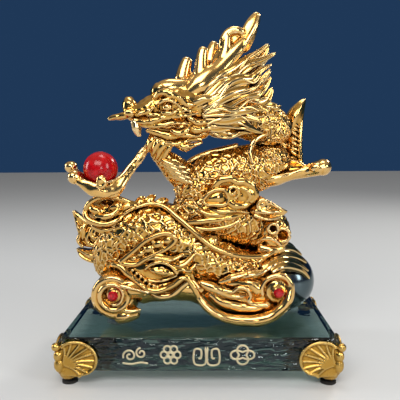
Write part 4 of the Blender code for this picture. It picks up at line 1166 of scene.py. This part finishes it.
ball = {"x": 56, "y": 8, "z": 20.5, "radius": 19.6}
ballFingers = [    # points, width
    ([(38, -22, 35), (44, -19, 39), (52, -13.5, 41), (61.5, -7, 38.5), (69, -1, 33.5)], 3.4),
    ([(39, -24, 32.5), (45, -22, 37), (53, -16.5, 38), (62, -9.5, 34.5), (70, -3, 28.5)], 3.0),
    ([(44, -25, 33), (50, -22.5, 36), (57, -17, 34.5), (64.5, -10.5, 30.5), (70.5, -5, 24)], 2.8),
    ([(36, -18, 37), (43, -14, 42), (52, -7, 44), (60, 0, 42), (67, 6, 37)], 3.6),
    ([(34, -12, 38), (42, -6, 43), (51, 2, 45), (60, 9, 42.5), (66, 14, 36)], 3.4),
]


def makeBall(look):
    tool = bmesh.new()
    bmesh.ops.create_icosphere(tool, subdivisions=6, radius=look["radius"] * mm)
    bmesh.ops.translate(tool, vec=(look["x"] * mm, look["y"] * mm, glassTop + look["z"] * mm),
                        verts=tool.verts)
    bmesh.ops.bisect_plane(tool, geom=tool.verts[:] + tool.edges[:] + tool.faces[:], dist=1e-7,
                           plane_co=(0, 0, lowNode["rock_ball"].z), plane_no=(0, 0, -1), clear_outer=True)
    bmesh.ops.holes_fill(tool, edges=[edge for edge in tool.edges if edge.is_boundary])
    bmesh.ops.recalc_face_normals(tool, faces=tool.faces)
    finishPiece("polished_ball", meshOf(tool), paintedSlateReflectionGold, ["rock_ball"])
    fingers = [lock(points, width, 0.8, 2, 0.2, 22, 50, 0.8, 0.3) for points, width in ballFingers]
    fingers.append(sweep([(36, -6, 34, 6), (42, -4, 38, 7), (48, -1, 41, 5)], 30, 30, 1.0, blunt=True))
    finishPiece("gripping_claw", together(*fingers), gold, ["ball_claw"])


carvedLook = {"voxel": 0.42, "unevenEvery": 5, "uneven": 0.4}    # mm, for the ridge and the clouds


def makeRidge(look):
    crest = [(-38, -21, 72, 0.9), (-29, -20.5, 74.5, 1.1), (-20, -21.5, 72.5, 1.4), (-12, -25, 66.5, 1.7),
             (-1, -28.4, 57.5, 1.7), (6, -29, 51.5, 1.8), (14.5, -29, 47, 1.8), (25, -28, 43.8, 1.6),
             (38.5, -25, 43, 1.5), (47, -20, 45.5, 1.2)]
    rim = [(-60, -15, 38, 0.8), (-58, -18, 48, 1.0), (-53.6, -20, 57.4, 1.15), (-47.4, -20.6, 66, 1.15),
           (-40, -20.2, 71.4, 1.1), (-31.6, -19.8, 73.6, 1.0), (-23, -19.6, 72, 0.8)]
    shapes = [sweep(crest, 16, 120, 0.8, blunt=True), sweep(rim, 14, 70, 0.8, blunt=True)]
    for x, y, z, tip in ((-37, -14, 73, (-33, -13, 78)), (-31, -14, 74.5, (-26, -13, 78.5)),
                         (-24, -15, 73.5, (-18, -15, 76)), (-16, -18, 69.5, (-9, -18, 71.5)),
                         (-9, -21, 65, (-3.5, -21, 67)), (-1, -24, 58.5, (5, -23.5, 61)),
                         (8, -26, 51.5, (13, -25.5, 54.5))):
        shapes.append(lock([(x - 5, y - 2, z - 3), (x, y - 2.5, z),
                            ((x + tip[0]) / 2, y - 1.5, (z + tip[2]) / 2 + 1), tip], 3.0, 0.5, 2, 0.15, 16,
                           24))
    finishPiece("ridge_ribbon", fused(shapes, look["voxel"], 1), gold, ["dorsal_ridge"])


def makeClouds(look):
    swirl = [
        egg(-55, -15.5, 69.5, 13.5, 6.5, 7.6, 4),
        strand([(-69, -19.5, 69.6), (-66, -21, 74.8), (-60.8, -21.5, 78), (-54.9, -21.5, 78.6),
                (-48.9, -21, 78.2), (-44.4, -19.5, 76.4), (-39, -17, 73.6)], 1.7, 1.5, 0.9, 12, 70),
        strand([(-69, -19.5, 69.6), (-66.5, -22, 65.4), (-60.5, -23, 62.9), (-54.4, -23.5, 62.6),
                (-49.2, -22.4, 64.7), (-45.6, -19.5, 67.4), (-43, -16, 70)], 2.0, 1.5, 0.9, 14, 80),
        egg(-61.2, -20.2, 70.6, 5.4, 3.8, 3.4, 20),
        egg(-49.6, -20.2, 72.8, 5.0, 3.6, 3.8, -20),
        lock([(-63, -21.5, 67.5), (-57, -24, 67), (-51.5, -24, 68.5), (-47, -22.5, 72.5)], 2.2, 0.9, 0, 0.3,
             16, 40),
        lock([(-50, -20, 69), (-43, -19, 73), (-37, -17, 72.5), (-32, -15, 71.5)], 3.0, 0.6, 2, 0.15),
        lock([(-66, -17, 61), (-58, -20, 58.5), (-50, -20, 60), (-44, -19, 64)], 2.4, 0.6, 2, 0.2),
    ]
    skin = dented(fused(swirl, look["voxel"], 1), -55.2, -21.5, 75.4, 4.4, 6.0, 1.9)
    finishPiece("cloud_curl_left", dented(skin, -57.5, -22, 65.6, 5.0, 3.4, 0.9), gold, ["cloud_swirl_left"])

    fins = [
        strand([(-80.2, -3, 68.2), (-77.8, -4.4, 60), (-76, -5.4, 54.2), (-77, -5.4, 49),
                (-73.5, -5.6, 45.4)], 0.9, 1.5, 1.0, 12, 60),
        strand([(-80, -3, 67.8), (-73.4, -5.2, 62.4), (-67.4, -6.2, 60.2), (-61, -6.2, 58.6)], 0.9, 1.6,
               1.0, 12, 50),
        strand(coiled(-64.6, -6.8, 54.2, 4.4, 1.2, 1.4, 100, -0.8), 1.4, 1.0, 0.9, 12, 60),
        strand([(-69, -5.6, 56.5), (-71.4, -6.2, 51.8), (-69.6, -6.4, 47.4), (-64.4, -6.8, 46.2),
                (-59.4, -6.6, 48.6)], 1.5, 1.3, 0.9, 12, 50),
        lock([(-70.5, -4.8, 61), (-73.5, -5.8, 57.6), (-73.4, -5.8, 53.2), (-74.4, -5.4, 49.6)], 2.0, 0.9,
             0, 0.2, 14, 36),
        lock([(-58, -5, 41), (-64.5, -6.2, 40), (-71, -5.8, 40.6), (-78.6, -3.6, 43.8)], 2.8, 0.8, 2, 0.12,
             20, 40),
        strand([(-78.4, -3, 43.4), (-76.2, -4.6, 39.6), (-71.4, -5.4, 36.6), (-64.2, -5.6, 35.4),
                (-57, -5, 36.4)], 0.8, 1.4, 1.0, 12, 50),
    ]
    fins += [mirrored(shape, -1.8) for shape in fins]
    fins.append(leafOf([(-80.5, 68.6), (-77.3, 59.8), (-75.6, 54.2), (-77, 48.6), (-73.2, 44.9),
                        (-66, 44.6), (-58, 46), (-57, 57), (-66.5, 61.2), (-73, 63.2)], -4.6, 1.0, 1.3))
    fins.append(leafOf([(-78.9, 44), (-76.8, 39.3), (-71.7, 35.7), (-64.3, 34.3), (-55, 35.5), (-54, 46),
                        (-64, 45), (-71.5, 43)], -4.6, 1.0, 1.3))
    skin = wobble(fused(fins, look["voxel"], 1), look["unevenEvery"], look["uneven"])
    finishPiece("flame_tail_fin", skin, gold, ["tail_fin"])

    lip = [(-52, -26, 39), (-46.5, -28.6, 37.4), (-41.5, -29.6, 33.2), (-36.4, -30.2, 29.4),
           (-31.4, -30.5, 25), (-26.6, -30.5, 23.3), (-21.6, -30.5, 24), (-16.9, -30.5, 25.8),
           (-12.6, -30.5, 28.6), (-9.2, -30.3, 31), (-6.2, -30, 30.4), (-3.7, -29.5, 27), (-1.2, -29, 21.8),
           (0.9, -28, 18)]
    panel = [
        leafOf([(-50, 38.5), (-45.8, 36.6), (-41, 32.4), (-36, 28.8), (-31, 25), (-25, 24), (-17, 26.4),
                (-11, 30), (-8, 34), (-10, 41), (-20, 43), (-34, 41.5), (-43, 40.5)], -27.4, -21, 1.8),
        strand(lip, 1.9, 1.8, 0.9, 14, 120),
    ]
    for k in range(11):    # a row of beads just inside the lip
        x, y, z = reach(lip[:6], 11)[k]
        panel.append(egg(x + 2.3, y + 0.4, z + 2.5, 1.15, 1.0, 1.15, 0, 2))
    panel.append(leafOf([(-29.5, 36), (-26, 38), (-21.5, 38.6), (-17.3, 36.6), (-14.2, 33.4), (-18.5, 31.6),
                         (-23.5, 32.2), (-27, 34)], -31.4, -26, 1.7))
    panel.append(strand([(-32, -28.5, 35.4), (-27.5, -30.8, 39.6), (-21.5, -31.4, 40.8), (-16, -31, 38.4),
                         (-12, -29.8, 33.6)], 0.9, 1.2, 0.9, 12, 50))
    panel.append(ringOf(-21.6, -31.6, 36.4, 1.5, 0.6, 0.8))
    panel.append(lock([(-33, -27, 40.5), (-25, -29.5, 43.4), (-16, -30, 42), (-8, -28.6, 45.5)], 2.6, 0.8,
                      2, 0.15, 20, 40))
    panel.append(lock([(-16, -27.5, 39.5), (-11, -30, 38.6), (-6, -29.6, 41), (-1, -28, 46.4)], 2.6, 0.8, 2,
                      0.15, 20, 40))
    panel.append(lock([(-14, -28.4, 34.6), (-9.6, -30.2, 36.4), (-5, -29.8, 35.6), (-1, -28, 40)], 2.2, 0.8,
                      2, 0.15, 20, 36))
    for shift in (0.0, 2.6):    # creases of the field round the leaf
        crease = [(-36 + shift, -28, 33.6 - shift), (-31.5 + shift, -28.8, 30.2 - shift),
                  (-25, -29, 28.8 - shift), (-18.5, -29.2, 30 - shift), (-12.5, -29.4, 32.6 - shift)]
        panel.append(strand(crease, 0.8, 0.7, 0.9, 10, 50))
    panel.append(lock([(-9, -27, 40), (-7, -28.5, 34), (-4, -28, 27), (-3, -26, 22)], 3.0, 0.7, 2, 0.2, 20,
                      40))
    skin = wobble(fused(panel, 0.4, 1), look["unevenEvery"], look["uneven"])
    finishPiece("cloud_panel", skin, gold, ["cloud_panel_lower"])

    leaf = [(2.7, 77.5), (6.1, 81.2), (11, 83.6), (15.9, 83.2), (18, 78.8), (15.6, 74.8), (10.5, 74.6),
            (5.1, 75.2)]
    motif = [
        egg(20, -20, 79.5, 15, 8.2, 10, 0, 4),
        leafOf(leaf, -29.4, -20, 1.8),
        strand([(x, -30.2, z) for x, z in [*leaf, leaf[0]]], 1.2, 1.2, 0.9, 12, 90),
        strand([(8.4, -27, 82), (10.6, -29, 86), (13.9, -29.8, 89.2), (18.8, -30, 90.2), (22.9, -30, 88.4),
                (27.5, -29.6, 88), (32, -28.4, 84.8), (33.4, -27.6, 80.3), (29.6, -28, 77)], 2.0, 2.7, 0.8,
               16, 110),
        egg(26.5, -24.4, 79.5, 7.4, 5.6, 7.2, 10),
        egg(19, -25.5, 78, 5.6, 5.4, 7.6, 15),
        strand(coiled(20.4, -29.0, 82.6, 4.2, 0.9, 1.5, 200, -2.4), 1.5, 0.9, 0.9, 12, 90),
        sweep([(17.4, -28.4, 80, 1.2), (18.6, -29.6, 76.4, 2.0), (22.6, -29.4, 74.2, 2.6),
               (28, -28, 74.6, 2.2), (32.6, -25.5, 77, 1.4)], 20, 60, 0.8),
        lock([(24, -28.6, 85), (28.6, -29.8, 83), (30.4, -29.4, 79), (27.6, -28.6, 75.6)], 2.6, 0.7, 2, 0.2,
             20, 40),
        strand([(-6, -26, 63.6), (0.2, -28, 64.6), (7, -29, 65.2), (14.9, -29.2, 66.2), (21.8, -28.4, 67.6),
                (27, -26, 69.4)], 1.8, 1.3, 0.8, 14, 60),
        strand([(-2, -26.5, 60.5), (8, -28, 60), (18, -28, 62), (25, -26.5, 65)], 1.2, 1.0, 0.8, 12, 40),
        lock([(6, -26.5, 72.6), (13, -29, 70.8), (21, -29.4, 71), (30, -26, 69.6)], 2.4, 0.8, 2, 0.2, 20,
             40),
        lock([(0, -26.5, 71.6), (6, -28.4, 69.2), (14, -29, 68.4), (20, -28, 69)], 2.0, 0.8, 2, 0.2, 20,
             40),
    ]
    skin = wobble(fused(motif, look["voxel"], 2), look["unevenEvery"], look["uneven"])
    finishPiece("cloud_motif", skin, gold, ["cloud_scroll_middle"])

    roll = [
        leafOf([(38.5, 57.5), (41.5, 62.8), (47.5, 64), (51.1, 60.8), (55, 57.4), (55.4, 51), (51.2, 46.8),
                (45, 47), (39.5, 51)], -20.5, -10, 3.0),
        ringOf(51, -20, 55.2, 4.0, 1.5, 1.1),
        ringOf(45, -21.4, 59.4, 3.0, 1.2, 1.0),
        strand([(36, -18, 50), (40.5, -21.6, 53.4), (45.6, -22.6, 52.6), (50, -21, 48.4)], 1.8, 1.2, 0.9,
               12, 50),
        sweep([(36, -17, 47.5, 3), (44, -18.5, 45.5, 3.6), (53, -16, 47, 2.6)], 20, 30, 1.0, blunt=True),
    ]
    skin = dented(fused(roll, look["voxel"], 2), 51, -21, 55.2, 3.1, 7.5, 3.1)
    finishPiece("rolled_cloud", dented(skin, 45, -22, 59.4, 2.0, 6.0, 2.0), smoothGold, ["hollow_scroll"])


makeLimbs(limbLook)
makeBall(ball)
makeRidge(carvedLook)
makeClouds(carvedLook)
print("stage: limbs, ball, ridge and clouds made")


# the sceptre the dragon stands on
# in mm; scroll is the middle of the left one
sceptre = {"voxel": 0.45, "scroll": (-50.3, 21.4), "unevenEvery": 7}


def makeSceptre(look):
    x, z = look["scroll"]
    left = [
        egg(x - 0.6, -18.5, z - 1.6, 13.6, 11.5, 13.4),
        egg(x, -18, z - 6, 13.4, 11.0, 13.2),
        strand(coiled(x - 0.8, -27.6, z - 1.2, 12.4, 5.2, -2.15, -40, -4.0), 2.7, 1.15, 1.0, 16, 220),
        discOf(x, z, 4.8, -32.4, -22, 2.2, 1.2),
        leafOf([(x + 4.5, z + 6), (x + 9, z + 8.6), (x + 15.4, z + 6.4), (x + 21.6, z + 1.2),
                (x + 19.2, z - 1.8), (x + 14, z - 2.8), (x + 6.8, z - 2.4)], -31.4, -24, 2.6, 1.8),
        strand([(x + 4, -32.4, z + 5.6), (x + 10, -33.6, z + 4.6), (x + 16.4, -33, z + 2.8),
                (x + 21.4, -31, z + 1)], 1.1, 0.7, 0.9, 12, 50),
        sweep([(-51, -24, 5.6, 4.6), (-43.5, -25.5, 7.4, 4.6), (-35.5, -24, 8.6, 3.4)], 30, 40, 1.3,
              blunt=True),
        strand([(-47, -29, 11.6), (-41, -30.2, 10.8), (-34.6, -28.6, 11.4)], 1.6, 1.1, 0.9, 12, 40),
    ]
    skin = wobble(fused(left, look["voxel"], 2), look["unevenEvery"], 0.4)
    skin = flattened(skin, lowNode["ruyi_scroll_left"].z)
    finishPiece("sceptre_scroll", skin, smoothGold, ["ruyi_scroll_left"])

    edge = [(-30, -24, 22.5), (-24, -27, 19.5), (-16, -28, 20), (-9, -28.5, 26), (-4, -28.5, 28.5),
            (0, -28, 24)]
    bar = [
        sweep([(-42, -14, 19, 9), (-25, -14, 22, 9.5), (-8, -12, 22, 9.5), (10, -9, 17, 10.5),
               (28, -8, 14, 11)], 50, 60, 1.1, blunt=True),
        strand(edge, 2.4, 2.0, 0.9, 14, 70),
    ]
    finishPiece("sceptre_bar", wobble(fused(bar, 0.5, 3), 8, 0.7), smoothGold, ["ruyi_bar"])

    rim = [(-2, -26.5, 23.4, 1.8), (1.6, -28, 16.6, 2.3), (7.2, -28.6, 11, 2.7), (15, -28.6, 6.8, 3.0),
           (25, -28.6, 4.8, 3.4), (35, -28.6, 4.8, 3.6), (43.4, -28.6, 7.2, 3.6), (50, -28.4, 12.6, 3.4),
           (53.8, -27.8, 19, 3.2), (54.8, -27, 26, 2.6), (51.8, -27, 30.4, 2.2), (46.2, -27.4, 31.8, 1.9),
           (40.8, -27.8, 29.4, 1.6), (38, -28, 24.8, 1.3), (38.4, -28, 19.6, 1.0)]
    stoneLow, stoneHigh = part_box("gem_right")
    stoneX = (stoneLow.x + stoneHigh.x) / 2 / mm
    stoneZ = ((stoneLow.z + stoneHigh.z) / 2 - glassTop) / mm
    contour = [(14, -27.6, 23), (20, -29, 22.4), (24, -29.6, 25), (28.8, -29.6, 24.2), (31, -29.6, 20.4),
               (30.2, -29.6, 16.8), (34.6, -29.6, 14.4), (42, -29.6, 14.2)]
    lobe = [
        slab([(0, 19), (8, 10.5), (19, 4), (34, 3), (47, 7), (56, 16), (57.5, 26), (52, 32), (40, 30),
              (22, 28), (8, 25)], -25, -6, 4.0),
        sweep(rim, 24, 150, 0.95, blunt=True),
        discOf(stoneX - 0.2, stoneZ - 0.4, 8.4, -28.2, -16, 4.2, 3.0),
        strand(contour, 1.3, 1.5, 0.9, 12, 90),
        sweep([(15, -23, 26, 1.5), (21, -24, 26.4, 3.4), (28, -24, 26.4, 4.4), (35, -24, 23.5, 5.6),
               (39, -24, 20, 5.4)], 30, 50, 0.9, blunt=True),
        sweep([(-2, -25, 28, 1.0), (3, -26.5, 26.6, 2.6), (9, -27, 24, 3.2), (16, -27, 20.6, 2.6),
               (24, -27, 19, 1.8), (29, -26.6, 19.6, 1.0)], 30, 60, 0.9, blunt=True),
        sweep([(6, -24.5, 20, 1.6), (14, -25, 15, 3.0), (24, -25, 12, 3.4), (34, -25, 11.2, 3.0),
               (40, -25, 13, 1.8)], 30, 60, 0.8, blunt=True),
        lock([(24, -26.5, 29), (30, -28.8, 32.4), (36, -28.6, 33.6), (42, -27, 35.6)], 2.4, 0.8, 2, 0.2, 18,
             30),
        lock([(12, -26.5, 27.4), (20, -28.4, 30.6), (29, -28, 33), (38, -26, 33.4)], 2.4, 0.8, 2, 0.2, 18,
             30),
    ]
    skin = wobble(fused(lobe, look["voxel"], 3), look["unevenEvery"], 0.45)
    skin = flattened(skin, lowNode["ruyi_lobe_right"].z)
    finishPiece("sceptre_lobe", skin, smoothGold, ["ruyi_lobe_right"])


makeSceptre(sceptre)
print("stage: sceptre made")
